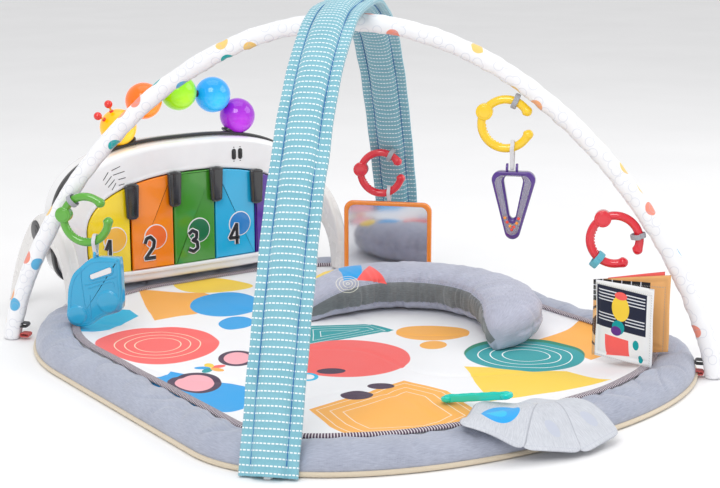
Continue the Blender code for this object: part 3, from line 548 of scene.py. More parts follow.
MOULDED = group("moulded", [("Place", VECTOR, None), ("Colour", COLOUR, None), ("Shade", COLOUR, None),
                            ("Gloss", FLOAT, 0.2)],
                [("Colour", COLOUR), ("Roughness", FLOAT), ("Height", FLOAT)], build_moulded)

# ---------------------------------------------------------------- materials


def new_material(name):
    """A material's tree and shader, the material itself, and its piece's object coordinates and UV map in
    metres."""
    made = bpy.data.materials.new(name)
    made.use_nodes = True
    t = Tree(made.node_tree)
    places = t.node("ShaderNodeTexCoord").outputs
    return t, made.node_tree.nodes["Principled BSDF"], made, places["Object"], places["UV"]


def settle(shader, **values):
    """Uniform values set on the shader's own sockets; underscores in the names stand for spaces."""
    for name, value in values.items():
        shader.inputs[name.replace("_", " ")].default_value = value


def rgb(red, green, blue):
    """An opaque colour in linear values."""
    return (red, green, blue, 1.0)


def bump(t, shader, height, distance, strength=0.6):
    """A height field, in metres at 1, laid on the shader's normal."""
    made = t.node("ShaderNodeBump")
    made.inputs["Strength"].default_value = strength
    made.inputs["Distance"].default_value = distance
    t.put(made.inputs["Height"], height)
    t.put(shader.inputs["Normal"], made.outputs[0])


def cloth_shader(t, shader, colour, weave_place, threads=4200.0, sheen=0.25, roughness=0.92, depth=0.00025):
    """The common finish of woven cloth: rough, with a little sheen and thread relief."""
    weave = use(t, WEAVE, Place=weave_place, Threads=threads)
    t.put(shader.inputs["Base Color"], colour)
    settle(shader, Roughness=roughness, Sheen_Weight=sheen, Sheen_Roughness=0.5, Specular_IOR_Level=0.25)
    bump(t, shader, weave["Height"], depth)
    return weave


def plain_cloth(name, colour, shade, threads=4200.0):
    """Woven cloth of one colour, darker in its fuzz."""
    t, shader, made, _, uv = new_material(name)
    fuzz = use(t, WEAVE, Place=uv, Threads=threads)["Fuzz"]
    cloth_shader(t, shader, t.mix(fuzz, shade, colour), uv, threads)
    return made


def heather_cloth(name, dark, light):
    """Mixed-yarn cloth of two shades."""
    t, shader, made, _, uv = new_material(name)
    mixed = use(t, HEATHER, Place=uv, Dark=dark, Light=light)
    cloth_shader(t, shader, mixed["Colour"], uv, 3600.0, 0.35)
    return made


def plastic(name, colour, gloss=0.16, coat=0.5):
    """Moulded plastic with a clear coat."""
    t, shader, made, place, _ = new_material(name)
    shade = tuple(c * 0.86 for c in colour[:3]) + (1.0,)
    moulded = use(t, MOULDED, Place=place, Colour=colour, Shade=shade, Gloss=gloss)
    t.put(shader.inputs["Base Color"], moulded["Colour"])
    t.put(shader.inputs["Roughness"], moulded["Roughness"])
    settle(shader, Coat_Weight=coat, Coat_Roughness=0.06)
    bump(t, shader, moulded["Height"], 0.00004, 0.5)
    return made


WHITE = rgb(0.90, 0.90, 0.92)
CORAL = rgb(0.95, 0.13, 0.12)
BLUE = rgb(0.01, 0.36, 0.80)
TEAL = rgb(0.00, 0.33, 0.36)
AMBER = rgb(0.95, 0.44, 0.07)
YELLOW = rgb(0.95, 0.66, 0.06)
PLUM = rgb(0.055, 0.022, 0.06)
PINK = rgb(0.93, 0.42, 0.48)
CYAN = rgb(0.01, 0.50, 0.80)
TEAL_DEEP = rgb(0.00, 0.24, 0.14)


def polygon_mask(t, place, corners):
    """Convex polygon (anticlockwise): its level falls from 1 on the edge to 0 at 50 mm inside."""
    inner = None
    for a, b in zip(corners, corners[1:] + corners[:1]):
        distance = use(t, EDGE, Place=place, From=(*a, 0.0), To=(*b, 0.0))["Distance"]
        inner = distance if inner is None else t.math("MINIMUM", inner, distance)
    level = t.rest(t.over(inner, 0.050))
    return {"Level": level, "Inside": t.step(inner, 0.0, 0.0012)}


def layer_shapes(t, place, ground, shapes):
    """Print colours laid over a ground one after another; each shape is a group, its colour, ring lines and
    values."""
    colour = ground
    for tree, tint, rings, values in shapes:
        shape = polygon_mask(t, place, values) if tree is EDGE else use(t, tree, Place=place, **values)
        fill = tint
        if rings:
            line, first, pitch = rings
            part = t.math("FRACT", t.over(t.minus(shape["Level"], first), pitch))
            near = t.math("ABSOLUTE", t.minus(part, 0.5))
            on = t.times(t.rest(t.step(near, 0.055, 0.03)),
                        t.times(t.step(shape["Level"], first, 0.01),
                               t.rest(t.step(shape["Level"], first + 3 * pitch, 0.01))))
            fill = t.mix(on, tint, line)
        colour = t.mix(shape["Inside"], colour, fill)
    return colour


def ellipse(x, y, half_length, half_width, turn=-33.0, wobble=0.10):
    """The ellipse group's inputs, with the turn in degrees."""
    return {"Centre": (x, y, 0.0), "Half_Length": half_length, "Half_Width": half_width,
            "Turn": math.radians(turn), "Wobble": wobble}


def panel(x, y, half_length, half_width, turn, taper=0.0):
    """The panel group's inputs, with the turn in degrees."""
    return {"Centre": (x, y, 0.0), "Half_Length": half_length, "Half_Width": half_width,
            "Turn": math.radians(turn), "Taper": taper}


def oval(colour, *values):
    """A plain ellipse of one colour, for layer_shapes."""
    return ELLIPSE, colour, None, ellipse(*values)


def block(colour, *values):
    """A plain panel of one colour, for layer_shapes."""
    return PANEL, colour, None, panel(*values)


def mat_print():
    """Printed cotton: large coloured ellipses and slanted panels, some with thin ring lines, on white."""
    t, shader, made, place, _ = new_material("mat_print")
    x, y, _ = t.split(place)
    flat = t.join(x, y)
    pale = rgb(0.98, 0.75, 0.55)
    white = rgb(0.85, 0.93, 0.93)
    shapes = [
        (EDGE, AMBER, None, [(-0.163, 0.239), (-0.010, 0.250), (-0.030, 0.334), (-0.119, 0.372)]),
        oval(YELLOW, -0.005, 0.350, 0.060, 0.026, -20, 0.05),
        oval(BLUE, -0.036, 0.262, 0.050, 0.066, -35, 0.2),
        oval(BLUE, -0.075, 0.166, 0.024, 0.032, -35, 0.3),
        oval(YELLOW, 0.020, 0.215, 0.026, 0.030, -35, 0.1),
        (EDGE, CYAN, None, [(-0.330, 0.170), (-0.237, 0.229), (-0.174, 0.240), (-0.167, 0.306),
                            (-0.230, 0.337)]),
        (ELLIPSE, CORAL, (pale, 0.30, 0.16), ellipse(-0.2165, 0.130, 0.0815, 0.088, -31, 0.12)),
        (EDGE, BLUE, None, [(-0.320, -0.170), (-0.256, -0.155), (-0.210, -0.090), (-0.258, 0.017),
                            (-0.320, -0.030)]),
        (EDGE, TEAL, (white, 0.35, 0.20), [(-0.068, 0.012), (0.079, 0.005), (0.073, 0.049), (-0.014, 0.097)]),
        oval(CORAL, -0.044, -0.0625, 0.0805, 0.079, -33),
        oval(PLUM, -0.1615, 0.0175, 0.024, 0.034, -33, 0.0),
        oval(PINK, -0.1615, 0.0175, 0.017, 0.026, -33, 0.0),
        oval(PLUM, -0.257, -0.042, 0.033, 0.042, -33, 0.0),
        oval(PINK, -0.257, -0.042, 0.024, 0.033, -33, 0.0),
        oval(PLUM, -0.092, -0.096, 0.018, 0.011, -33, 0.2),
        oval(CYAN, -0.128, -0.098, 0.013, 0.016, -33, 0.1),
        oval(WHITE, -0.128, -0.098, 0.008, 0.010, -33, 0.1),
        (EDGE, AMBER, (pale, 0.20, 0.26),
         [(-0.208, -0.265), (-0.218, -0.311), (-0.128, -0.366), (-0.044, -0.342),
                                           (-0.021, -0.241), (-0.040, -0.179), (-0.205, -0.203)]),
        oval(PLUM, -0.118, -0.190, 0.020, 0.017, -33, 0.3),
        oval(PLUM, -0.076, -0.180, 0.016, 0.011, -33, 0.3),
        (EDGE, AMBER, None, [(0.210, -0.245), (0.320, -0.215), (0.310, -0.120), (0.207, -0.140)]),
        (EDGE, YELLOW, None, [(-0.004, -0.302), (0.038, -0.312), (0.164, -0.332), (0.150, -0.265),
                              (0.056, -0.177)]),
        oval(TEAL_DEEP, 0.158, -0.176, 0.079, 0.066, -33, 0.14),
        (ELLIPSE, TEAL, (white, 0.30, 0.20), ellipse(0.151, -0.186, 0.077, 0.066, -33, 0.14)),
        oval(AMBER, 0.1145, -0.034, 0.0495, 0.039, -33, 0.35),
        oval(AMBER, 0.080, -0.082, 0.020, 0.017, 20, 0.35),
    ]
    for tint, heading in ((CORAL, 0), (YELLOW, 72), (BLUE, 144), (TEAL, 216), (AMBER, 288)):
        turn = math.radians(heading)
        shapes.append(oval(tint, -0.210 + 0.011 * math.cos(turn), 0.011 * math.sin(turn), 0.010, 0.006,
                           heading, 0.0))
    colour = layer_shapes(t, flat, WHITE, shapes)
    wash = t.noise(flat, 14.0, 3.0)
    colour = t.mix(t.times(wash, 0.10), colour, rgb(0.60, 0.58, 0.62))
    cloth_shader(t, shader, colour, flat, 5200.0, 0.12, 0.85, 0.00018)
    return made


def stripe_cloth():
    """Corded piping with narrow dark and pale stripes across it."""
    t, shader, made, _, uv = new_material("stripe_cloth")
    u, _, _ = t.split(uv)
    on = t.stripe(u, 0.0034, 0.62)
    fuzz = t.noise(uv, 700.0, 2.0)
    colour = t.mix(on, rgb(0.72, 0.68, 0.70), t.mix(fuzz, rgb(0.06, 0.03, 0.06), rgb(0.13, 0.08, 0.12)))
    cloth_shader(t, shader, colour, uv, 4000.0, 0.1, 0.9, 0.0003)
    return made


def sleeve_print():
    """White cotton with thin grey pebbled outlines and scattered coloured patches: random cells over the
    sleeve."""
    t, shader, made, _, uv = new_material("sleeve_print")
    cells = t.node("ShaderNodeTexVoronoi", voronoi_dimensions="2D", feature="F1")
    t.put(cells.inputs["Vector"], uv)
    cells.inputs["Scale"].default_value = 30.0
    cells.inputs["Randomness"].default_value = 0.85
    pick = t.split(cells.outputs["Color"])[0]
    ramp = t.node("ShaderNodeValToRGB")
    t.put(ramp.inputs[0], pick)
    ramp.color_ramp.interpolation = "CONSTANT"
    stops = ((0.0, WHITE), (0.58, rgb(0.12, 0.45, 0.72)), (0.65, rgb(0.88, 0.30, 0.22)), (0.72, WHITE),
             (0.78, rgb(0.02, 0.42, 0.42)), (0.85, rgb(0.92, 0.62, 0.20)), (0.93, rgb(0.90, 0.42, 0.20)))
    for position, tint in stops[1:]:
        ramp.color_ramp.elements.new(position).color = tint
    ramp.color_ramp.elements[0].color = WHITE
    ramp.color_ramp.elements[-1].color = stops[-1][1]
    patch = t.rest(t.step(cells.outputs["Distance"], 0.27, 0.03))
    colour = t.mix(patch, WHITE, ramp.outputs[0])
    fine = t.node("ShaderNodeTexVoronoi", voronoi_dimensions="2D", feature="F1")
    t.put(fine.inputs["Vector"], uv)
    fine.inputs["Scale"].default_value = 62.0
    ring = t.math("ABSOLUTE", t.minus(fine.outputs["Distance"], 0.36))
    line = t.rest(t.step(ring, 0.035, 0.02))
    colour = t.mix(t.times(line, 0.3), colour, rgb(0.45, 0.48, 0.60))
    # Painted shade: a band along the puckered seam under the sleeve is darkened towards grey, broken up by
    # noise.
    under = t.split(uv)[1]
    seam = t.math("ABSOLUTE", t.minus(under, SLEEVE_SEAM))
    shade = t.rest(t.step(seam, 0.006, 0.006))
    crumple = t.noise(uv, 160.0, 3.0)
    colour = t.mix(t.times(shade, t.times(crumple, 0.9)), colour, rgb(0.38, 0.37, 0.36))
    cloth_shader(t, shader, colour, uv, 4200.0, 0.15, 0.85, 0.0003)
    return made


SLEEVE_RADIUS = 0.0125
SLEEVE_SEAM = 0.75 * 2 * math.pi * SLEEVE_RADIUS
STITCH_PITCH = 0.0079
DASH_PITCH = 0.0044


def strap_cloth():
    """Aqua cotton with rows of white running stitches across it; the sewn lines along both channel edges are
    thread pieces of their own.
    """
    t, shader, made, _, uv = new_material("strap_cloth")
    u, v, _ = t.split(uv)
    drift = t.times(t.minus(t.noise(uv, 30.0, 1.0), 0.5), 0.0016)
    row = t.stripe(t.plus(u, drift), STITCH_PITCH, 0.20)
    dash = t.stripe(v, DASH_PITCH, 0.72)
    stitch = t.times(row, dash)
    fuzz = t.noise(uv, 500.0, 3.0)
    slow = t.noise(uv, 40.0, 2.0)
    ground = t.mix(t.times(t.plus(fuzz, slow), 0.5), rgb(0.13, 0.36, 0.45), rgb(0.29, 0.56, 0.65))
    colour = t.mix(stitch, ground, rgb(0.88, 0.95, 0.97))
    weave = use(t, WEAVE, Place=uv, Threads=4400.0)
    t.put(shader.inputs["Base Color"], colour)
    settle(shader, Roughness=0.85, Sheen_Weight=0.2, Specular_IOR_Level=0.25)
    height = t.plus(t.times(weave["Height"], 0.5), t.times(stitch, 1.6))
    bump(t, shader, height, 0.0004)
    return made


def glowing(name, deep, bright, centre, radius, tilt):
    """Lit coloured plastic: light gathers in a hot spot low on the side of the lamp, and thins towards the
    rim."""
    t, shader, made, place, _ = new_material(name)
    spot = Vector(centre) + Vector(tilt).normalized() * radius * 0.62
    away = t.vector("DISTANCE", place, tuple(spot))
    near = t.rest(t.step(away, radius * 0.45, radius * 1.10))
    moulded = use(t, MOULDED, Place=place, Colour=deep, Shade=tuple(c * 0.9 for c in deep[:3]) + (1.0,),
                  Gloss=0.08)
    colour = t.mix(near, moulded["Colour"], bright)
    t.put(shader.inputs["Base Color"], colour)
    t.put(shader.inputs["Roughness"], moulded["Roughness"])
    t.put(shader.inputs["Emission Color"], colour)
    settle(shader, Emission_Strength=0.42, Coat_Weight=0.35, Coat_Roughness=0.03)
    return made


def clear_plastic(name, colour):
    """Clear moulded plastic with faint flow marks."""
    t, shader, made, place, _ = new_material(name)
    flow = t.noise(place, 60.0, 2.0)
    t.put(shader.inputs["Base Color"], t.mix(flow, colour, rgb(0.96, 0.96, 0.98)))
    settle(shader, Roughness=0.06, Transmission_Weight=0.85, IOR=1.3, Coat_Weight=0.6)
    return made


def mirror_film():
    """Metallised film, a little hazy in patches."""
    t, shader, made, place, _ = new_material("mirror_film")
    haze = t.noise(place, 18.0, 2.0)
    t.put(shader.inputs["Base Color"], t.mix(haze, rgb(0.62, 0.63, 0.66), rgb(0.80, 0.80, 0.82)))
    settle(shader, Metallic=1.0)
    t.put(shader.inputs["Roughness"], t.plus(0.05, t.times(haze, 0.06)))
    return made


def page_print(name, ground, shapes, border=None):
    """Printed cloth page; its UV map runs in metres from the lower corner by the spine."""
    t, shader, made, _, uv = new_material(name)
    colour = layer_shapes(t, uv, ground, shapes)
    if border:
        stitch = t.stripe(t.plus(t.split(uv)[0], t.split(uv)[1]), 0.0032, 0.6)
        edge = use(t, PANEL, Place=uv, **border)["Level"]
        on = t.times(t.step(edge, 0.985, 0.01), t.rest(t.step(edge, 1.015, 0.01)))
        colour = t.mix(t.times(t.times(on, stitch), 0.5), colour, rgb(0.35, 0.35, 0.35))
    cloth_shader(t, shader, colour, uv, 5200.0, 0.1, 0.8, 0.0002)
    return made


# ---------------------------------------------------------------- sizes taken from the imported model

UP = np.array([0.0, 0.0, 1.0])


def span(node):
    """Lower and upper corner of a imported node."""
    low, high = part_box(node)
    return np.array(low), np.array(high)


def arch_path(node, inset, top, rise, spread, start, count):
    """Centre line of an arch between two diagonal corners of its box: height is a power of a half turn's
    sine."""
    low, high = span(node)
    near = np.array([low[0] + inset, high[1] - inset]) if node == "white_sleeve" else low[:2] + inset
    far = np.array([high[0] - inset, low[1] + inset]) if node == "white_sleeve" else high[:2] - inset
    height = high[2] - top
    first = math.asin((start / height) ** (1 / rise))
    turn = np.linspace(first, math.pi - first, count)
    run = -signed_power(np.cos(turn), spread)
    flat = (near + far) / 2 + run[:, None] * (far - near) / 2
    return np.column_stack([flat, height * np.sin(turn) ** rise])


WHITE_PATH = dense(arch_path("white_sleeve", 0.012, 0.0115, 1.448, 1.0, 0.0008, 600), 520)
BLUE_PATH = dense(arch_path("blue_strap", 0.0244, 0.0095, 2.096, 0.78, 0.0008, 900), 460)
RUN = np.append(WHITE_PATH[-1, :2] - WHITE_PATH[0, :2], 0.0)
RUN /= np.linalg.norm(RUN)
AWAY = np.array([-RUN[1], RUN[0], 0.0])
BLUE_RUN = np.append(BLUE_PATH[-1, :2] - BLUE_PATH[0, :2], 0.0)
BLUE_RUN /= np.linalg.norm(BLUE_RUN)
BLUE_ACROSS = np.array([BLUE_RUN[1], -BLUE_RUN[0], 0.0])

HALF = 0.360
CORNER_Y = -0.218
FRONT_REACH, FRONT_POWER = 0.213, 2.1


def mat_outline(inset, count=900):
    """Mat edge at an inset: straight sides and round back corners, and a wide superellipse of power 2.1 at
    the front."""
    half = HALF - inset
    back, radius = 0.431 - inset, 0.296 - inset
    front = FRONT_REACH - inset
    turn = np.linspace(0, math.pi, 400)
    c = np.cos(turn)
    low = np.column_stack([half * signed_power(c, 2 / FRONT_POWER),
                           CORNER_Y - front * np.sin(turn) ** (2 / FRONT_POWER)])
    bend = np.linspace(0, math.pi / 2, 120)
    left = np.column_stack([-half + radius - radius * np.cos(bend), back - radius + radius * np.sin(bend)])
    right = left[::-1] * (-1, 1)
    return resampled(np.vstack([low, left, right]), count)[::-1]


STRAP_FEET = (BLUE_PATH[0], BLUE_PATH[-1])
SLEEVE_FEET = (WHITE_PATH[0], WHITE_PATH[-1])

# ---------------------------------------------------------------- mat


def rim_dents(points):
    """Extra squash of the stuffed edge, in metres, where each foot of the blue strap presses on it."""
    dent = np.zeros(points.shape[:-1])
    for foot, wide, deep in ((STRAP_FEET[0], 0.050, 0.010), (STRAP_FEET[1], 0.050, 0.010)):
        away = np.linalg.norm(points[..., :2] - foot[:2], axis=-1)
        dent = dent + deep * np.exp(-(away / wide) ** 2)
    return dent


def mat_rim():
    """Stuffed tube: a half-round profile carried round the outline, with gathers that grow towards both
    seams."""
    count, steps = 1200, 56
    outline = mat_outline(0.0, count)
    along = lengths(outline, closed=True)
    t = np.linspace(0, 1, steps)
    turn = math.pi * t
    inset = 0.0255 - 0.0250 * np.cos(turn)
    lift = 0.0052 + 0.0272 * np.sin(turn * (1 - 0.16 * t)) ** 0.72
    inward = inward_of(outline)
    points = np.zeros((count, steps, 3))
    points[..., :2] = outline[:, None] + inward[:, None] * inset[None, :, None]
    points[..., 2] = lift
    s = along[:count, None]
    gather = np.sin(turn)[None] ** 0.5
    fold = ripple(s * 95 + t[None] * 5, t[None] * 4.0, 3) * 0.0019 * gather
    crease = ripple(s * 46, t[None] * 5.5, 4)
    fold = fold - np.exp(-(crease / 0.16) ** 2) * 0.0022 * gather
    seam = (1 - np.sin(turn)[None]) * np.sin(turn)[None] ** 0.4
    pucker = ripple(s * 330, t[None] * 3.0, 5) * 0.0016 * seam
    wide = ripple(s * 22, t[None] * 1.5, 8) * 0.0018 * gather
    points[..., 2] += fold + pucker + wide - rim_dents(points) * np.sin(turn)[None] ** 0.6
    points[..., 2] = np.maximum(points[..., 2], 0.0052)
    under = np.zeros((count, 10, 3))
    share = np.linspace(1, 0, 12)[1:-1]
    under[..., :2] = outline[:, None] + inward[:, None] * (0.0005 + 0.051 * share)[None, :, None]
    under[..., 2] = 0.0051
    points = np.concatenate([points, under], axis=1)
    around = np.concatenate([t * 0.075, 0.075 + 0.05 * np.linspace(0.1, 1, 11)])
    made = piece("rim", surface(points, along, around, wrap_rows=True, wrap_columns=True), "mat",
                 heather_cloth("rim_cloth", rgb(0.27, 0.29, 0.37), rgb(0.47, 0.50, 0.60)),
                 ("mat_rim",))


def mat_backing():
    """Flat quilted underside with its cream binding rolled up at the edge."""
    outline = mat_outline(-0.0030, 900)
    along = lengths(outline, closed=True)
    edge = np.linspace(-math.pi / 2, math.pi / 2, 9)
    rings = [np.column_stack([offset(outline, 0.0032 - 0.0032 * math.cos(a)),
                              np.full(900, 0.0032 + 0.0030 * math.sin(a))]) for a in edge]
    inner = [np.column_stack([offset(outline, d), np.full(900, 0.0060 - min(d, 0.004) * 0.25)])
             for d in (0.008, 0.020)]
    inner_low = [np.column_stack([offset(outline, d), np.full(900, 0.0)]) for d in (0.2, 0.10, 0.04, 0.012)]
    rings = inner_low + rings + inner
    rings = np.array(rings)
    u = np.linspace(0, 0.3, len(rings))
    piece("binding", surface(rings, u, along, wrap_columns=True, caps=True), "mat",
          plain_cloth("binding_cloth", rgb(0.82, 0.72, 0.56), rgb(0.60, 0.50, 0.37)),
          ("mat_backing",))


def mat_pad():
    """Padded top: rings from the outline to the middle, a soft crown, and shallow creases."""
    count, rings = 640, 110
    outline = mat_outline(0.0520, count)
    middle = np.array([0.0, 0.03])
    share = np.linspace(1, 0.004, rings)
    flat = middle + share[:, None, None] * (outline - middle)[None]
    gap = 1 - share[:, None]
    z = 0.0180 + 0.0085 * np.exp(-(gap / 0.075) ** 2) * np.ones((1, count))
    crease = ripple(flat[..., 0] * 16, flat[..., 1] * 16, 11)
    crease = np.exp(-(crease / 0.10) ** 2) * 0.0013
    soft = ripple(flat[..., 0] * 9, flat[..., 1] * 9, 12) * 0.0012 + ripple(flat[..., 0] * 45,
                                                                            flat[..., 1] * 45,
                                                                           13) * 0.00035
    z = z + (soft - crease - 0.0008) * np.clip(gap * 14, 0, 1)
    points = np.concatenate([flat, z[..., None]], axis=-1)
    base = np.concatenate([flat[::-1][::22], np.full_like(flat[::-1][::22, :, :1], 0.0054)], axis=-1)
    base = np.concatenate([base, np.concatenate([flat[:1], np.full((1, count, 1), 0.0054)], axis=-1)], axis=0)
    made = piece("pad", surface(np.concatenate([base, points], axis=0), wrap_columns=True, caps=True), "mat",
                 mat_print(), ("mat_pad",))


def mat_piping():
    """Corded edge between pad and rim, swaying slightly as sewn piping does."""
    count = 1000
    outline = mat_outline(0.0548, count)
    along = lengths(outline, closed=True)
    path = np.column_stack([outline, np.full(count, 0.0275)])
    path[:, 2] += ripple(along[:count] * 40, 0.0, 21) * 0.0005
    section = soft_box(0.0022, 0.0056, 2.4, 24)
    points = carried(path, section, np.broadcast_to(UP, path.shape), closed=True)
    piece("piping", surface(points, along, np.linspace(0, 0.0277, 25), wrap_rows=True, wrap_columns=True),
          "mat",
          stripe_cloth(), ("striped_piping",))


mat_rim()
mat_backing()
mat_pad()
mat_piping()

# ---------------------------------------------------------------- arches


def level_cut(points, low=0.0006):
    """The lowest ring of each end laid flat on the floor."""
    points[..., 2] = np.maximum(points[..., 2], low)
    return points


def white_sleeve():
    """Padded round sleeve along its arch, with gathers running round it and a flatter puckered seam
    underneath."""
    sides = 40
    along = lengths(WHITE_PATH)
    angle = np.arange(sides) * 2 * math.pi / sides
    s = along[:, None]
    radius = SLEEVE_RADIUS - 0.0004 + ripple(s * 130, angle[None], 31) * 0.0006
    under = np.exp(-((np.angle(np.exp(1j * (angle - 1.5 * math.pi)))) / 0.45) ** 2)[None]
    radius = radius - under * (0.0012 + 0.0009 * ripple(s * 420, 0.0, 33))
    radius = radius + ripple(s * 320, angle[None] * 2, 34) * 0.00025
    section = np.stack([radius * np.cos(angle)[None], radius * np.sin(angle)[None]], axis=-1)
    side = np.broadcast_to(AWAY, WHITE_PATH.shape)
    points = level_cut(carried(WHITE_PATH, section, side))
    closed = surface(points, along, np.linspace(0, 2 * math.pi * SLEEVE_RADIUS, sides + 1), wrap_columns=True,
                     caps=True)
    made = piece("sleeve", closed, "arches", sleeve_print(), ("white_sleeve",))


STRAP_HALF = np.array([(0.0325, 0.0026), (0.0296, 0.0034), (0.0255, 0.0033), (0.0215, 0.0026),
                       (0.0196, 0.0024),
                       (0.0180, 0.0048), (0.0150, 0.0078), (0.0110, 0.0094), (0.0055, 0.0101), (0.0, 0.0103)])


def blue_strap():
    """Flat strap with a stuffed channel: its section carried along the arch, puckered between the rows of
    stitching."""
    right = STRAP_HALF
    left = right[::-1][1:] * (-1, 1)
    top = np.vstack([right, left])
    section = np.vstack([top, top[::-1] * (1, -1)])
    length = lengths(section, closed=True)
    section = resampled(section, 84)
    fine = dense(BLUE_PATH, 1100)
    along = lengths(fine)
    s = along[:, None]
    across = section[None, :, 0]
    flange = np.clip((np.abs(across) - 0.019) / 0.006, 0, 1)
    row = np.cos(s / STITCH_PITCH * 2 * math.pi)
    body = 1 - row * 0.020 * (1 - flange)
    wave = ripple(s * 60, across * 60, 41) * 0.0016 * flange
    crumple = ripple(s * 170, across * 150, 42) * 0.0004
    points = np.stack([np.broadcast_to(across, (len(fine), len(section))) + ripple(s * 50, 0.0, 43) * 0.0006,
                       section[None, :, 1] * body + wave + crumple], axis=-1)
    side = np.broadcast_to(BLUE_ACROSS, fine.shape)
    placed = level_cut(carried(fine, points, side), 0.0008)
    closed = surface(placed, along, np.linspace(0, length[-1], 85), wrap_columns=True, caps=True)
    made = piece("strap", closed, "arches", strap_cloth(), ("blue_strap",))
    thread = thread_finish("seam_thread", rgb(0.03, 0.13, 0.30))
    _, normal = path_frames(fine, side)
    for k, edge in enumerate((-0.0196, 0.0196)):
        for face in (-1, 1):
            wander = ripple(along * 60, edge * 60, 41) * 0.0008
            line = fine + side * edge + normal * (0.0030 * face) + normal * wander[:, None]
            keep = (along > 0.012) & (along < along[-1] - 0.012)
            points = carried(line[keep], round_section(0.00065, 8), side[keep])
            piece(f"strap_seam_{k}_{'in' if face < 0 else 'out'}",
                  surface(points, along[keep], wrap_columns=True, caps=True), "arches",
                  thread)


def thread_finish(name, colour):
    """Twisted sewing thread: fine slanted strands along the line."""
    t, shader, made, _, uv = new_material(name)
    u, v, _ = t.split(uv)
    strand = t.math("SINE", t.times(t.plus(u, t.times(v, 0.02)), 4200.0))
    t.put(shader.inputs["Base Color"], t.mix(t.times(t.plus(strand, 1.0), 0.5), colour,
                                             tuple(min(1.0, c * 1.8) for c in colour[:3]) + (1.0,)))
    settle(shader, Roughness=0.8)
    return made


white_sleeve()
blue_strap()

# ---------------------------------------------------------------- rings and their loops

CENTRE = np.array([-0.007, -0.012, 0.0])
RING_RADIUS = 0.031
RINGS = {
    "green": (CENTRE + RUN * -0.3528 + AWAY * -0.0195 + UP * 0.1758, (9, 36, 169), -67, 0.0150),
    "yellow": (CENTRE + RUN * 0.2020 + UP * 0.3175, (-12, 20, 151), -73, 0.0245),
    "red_book": (CENTRE + RUN * 0.3425 + AWAY * -0.002 + UP * 0.1745, (-56, -34, 120), -128, 0.0035),
    "red_mirror": (np.array([0.2236, 0.2375, 0.1853]), (-1, 24, 171), -66, 0.0100),
}
RING_COLOURS = {"green": rgb(0.10, 0.40, 0.03), "yellow": rgb(0.95, 0.62, 0.01),
                "red_book": rgb(0.75, 0.012, 0.03),
                "red_mirror": rgb(0.75, 0.012, 0.03)}


def on_ring(centre, degrees, radius=RING_RADIUS):
    """Point at an angle round a link ring, in the plane of the white arch."""
    a = math.radians(degrees)
    return centre + (RUN * math.cos(a) + UP * math.sin(a)) * radius


def link_ring(key, centre, gap):
    """Open link: a round bar bent in a circle between two bulb ends, a knob on its face, and grip bumps
    inside."""
    first, last, knob = gap
    degrees = np.linspace(last, 360 + first, 220)
    path = np.array([on_ring(centre, d) for d in degrees])
    along = lengths(path)
    tip = np.minimum(along, along[-1] - along)
    size = np.full(len(path), 0.0055) + 0.0014 * np.exp(-((tip - 0.0058) / 0.0042) ** 2)
    near = tip < 0.0064
    size[near] = np.sqrt(np.clip(0.0064 ** 2 - (0.0064 - tip[near]) ** 2, 1e-8, None)) * size[near] / 0.0064
    bar = surface(carried(path, round_section(1.0, 20), np.broadcast_to(AWAY, path.shape), size), along,
                  wrap_columns=True, caps=True)
    parts = [bar, disc(on_ring(centre, knob), AWAY, 0.0108, 0.0135, 0.0020, 36),
             disc(on_ring(centre, knob), AWAY, 0.0080, 0.0150, 0.0014, 36)]
    for k in range(9):
        at = knob + 34 + k * 9
        parts.append(ball(on_ring(centre, at, RING_RADIUS - 0.0045), 0.0019, 10, 14))
    piece(f"ring_{key}_shell", parts, f"ring_{key}",
          plastic(f"ring_{key}_finish", RING_COLOURS[key], 0.12, 0.8),
          (f"ring_{key}",))


def webbing_loop(near, far, axis, near_clear, far_clear, width, wall=0.0014):
    """Webbing band: a belt path round two points, half a circle at each, carrying a thin soft-edged
    section."""
    near, far, axis = (np.asarray(p, float) for p in (near, far, axis))
    axis = axis / np.linalg.norm(axis)
    way = far - near
    way -= axis * np.dot(axis, way)
    reach = np.linalg.norm(way)
    way /= reach
    other = np.cross(axis, way)
    turn = np.linspace(math.pi / 2, 3 * math.pi / 2, 30)[:, None]
    start = near + (near_clear + wall / 2) * (np.cos(turn) * way + np.sin(turn) * other)
    end = near + way * reach + (far_clear + wall / 2) * (-np.cos(turn) * way - np.sin(turn) * other)
    path = resampled(np.vstack([start, end]), 96)
    along = lengths(path, closed=True)
    section = soft_box(width / 2, wall / 2, 3.0, 24)
    points = carried(path, section, np.broadcast_to(axis, path.shape), closed=True)
    points = points + axis * (ripple(along[:96] * 300, 0.0, 51) * 0.0003)[:, None, None]
    return surface(points, along, lengths(section, closed=True), wrap_rows=True, wrap_columns=True)


def webbing(name, colour, shade):
    """Narrow woven tape with ribs across it."""
    t, shader, made, _, uv = new_material(name)
    u, _, _ = t.split(uv)
    rib = t.math("SINE", t.times(u, 5200.0))
    fuzz = t.noise(uv, 800.0, 2.0)
    t.put(shader.inputs["Base Color"], t.mix(t.times(t.plus(t.times(rib, 0.4), fuzz), 0.7,
                                                    clamp=True), shade, colour))
    settle(shader, Roughness=0.85, Sheen_Weight=0.2)
    bump(t, shader, t.plus(rib, t.times(fuzz, 0.6)), 0.0002)
    return made


GREY_TAPE = webbing("grey_tape", rgb(0.55, 0.56, 0.60), rgb(0.30, 0.31, 0.35))
WHITE_TAPE = webbing("white_tape", rgb(0.88, 0.88, 0.90), rgb(0.62, 0.62, 0.66))


def ring_tangent(degrees):
    """Direction along a link ring at an angle."""
    a = math.radians(degrees)
    return RUN * -math.sin(a) + UP * math.cos(a)


HOOKS = {"green": 125, "yellow": 68, "red_book": 12, "red_mirror": 62}


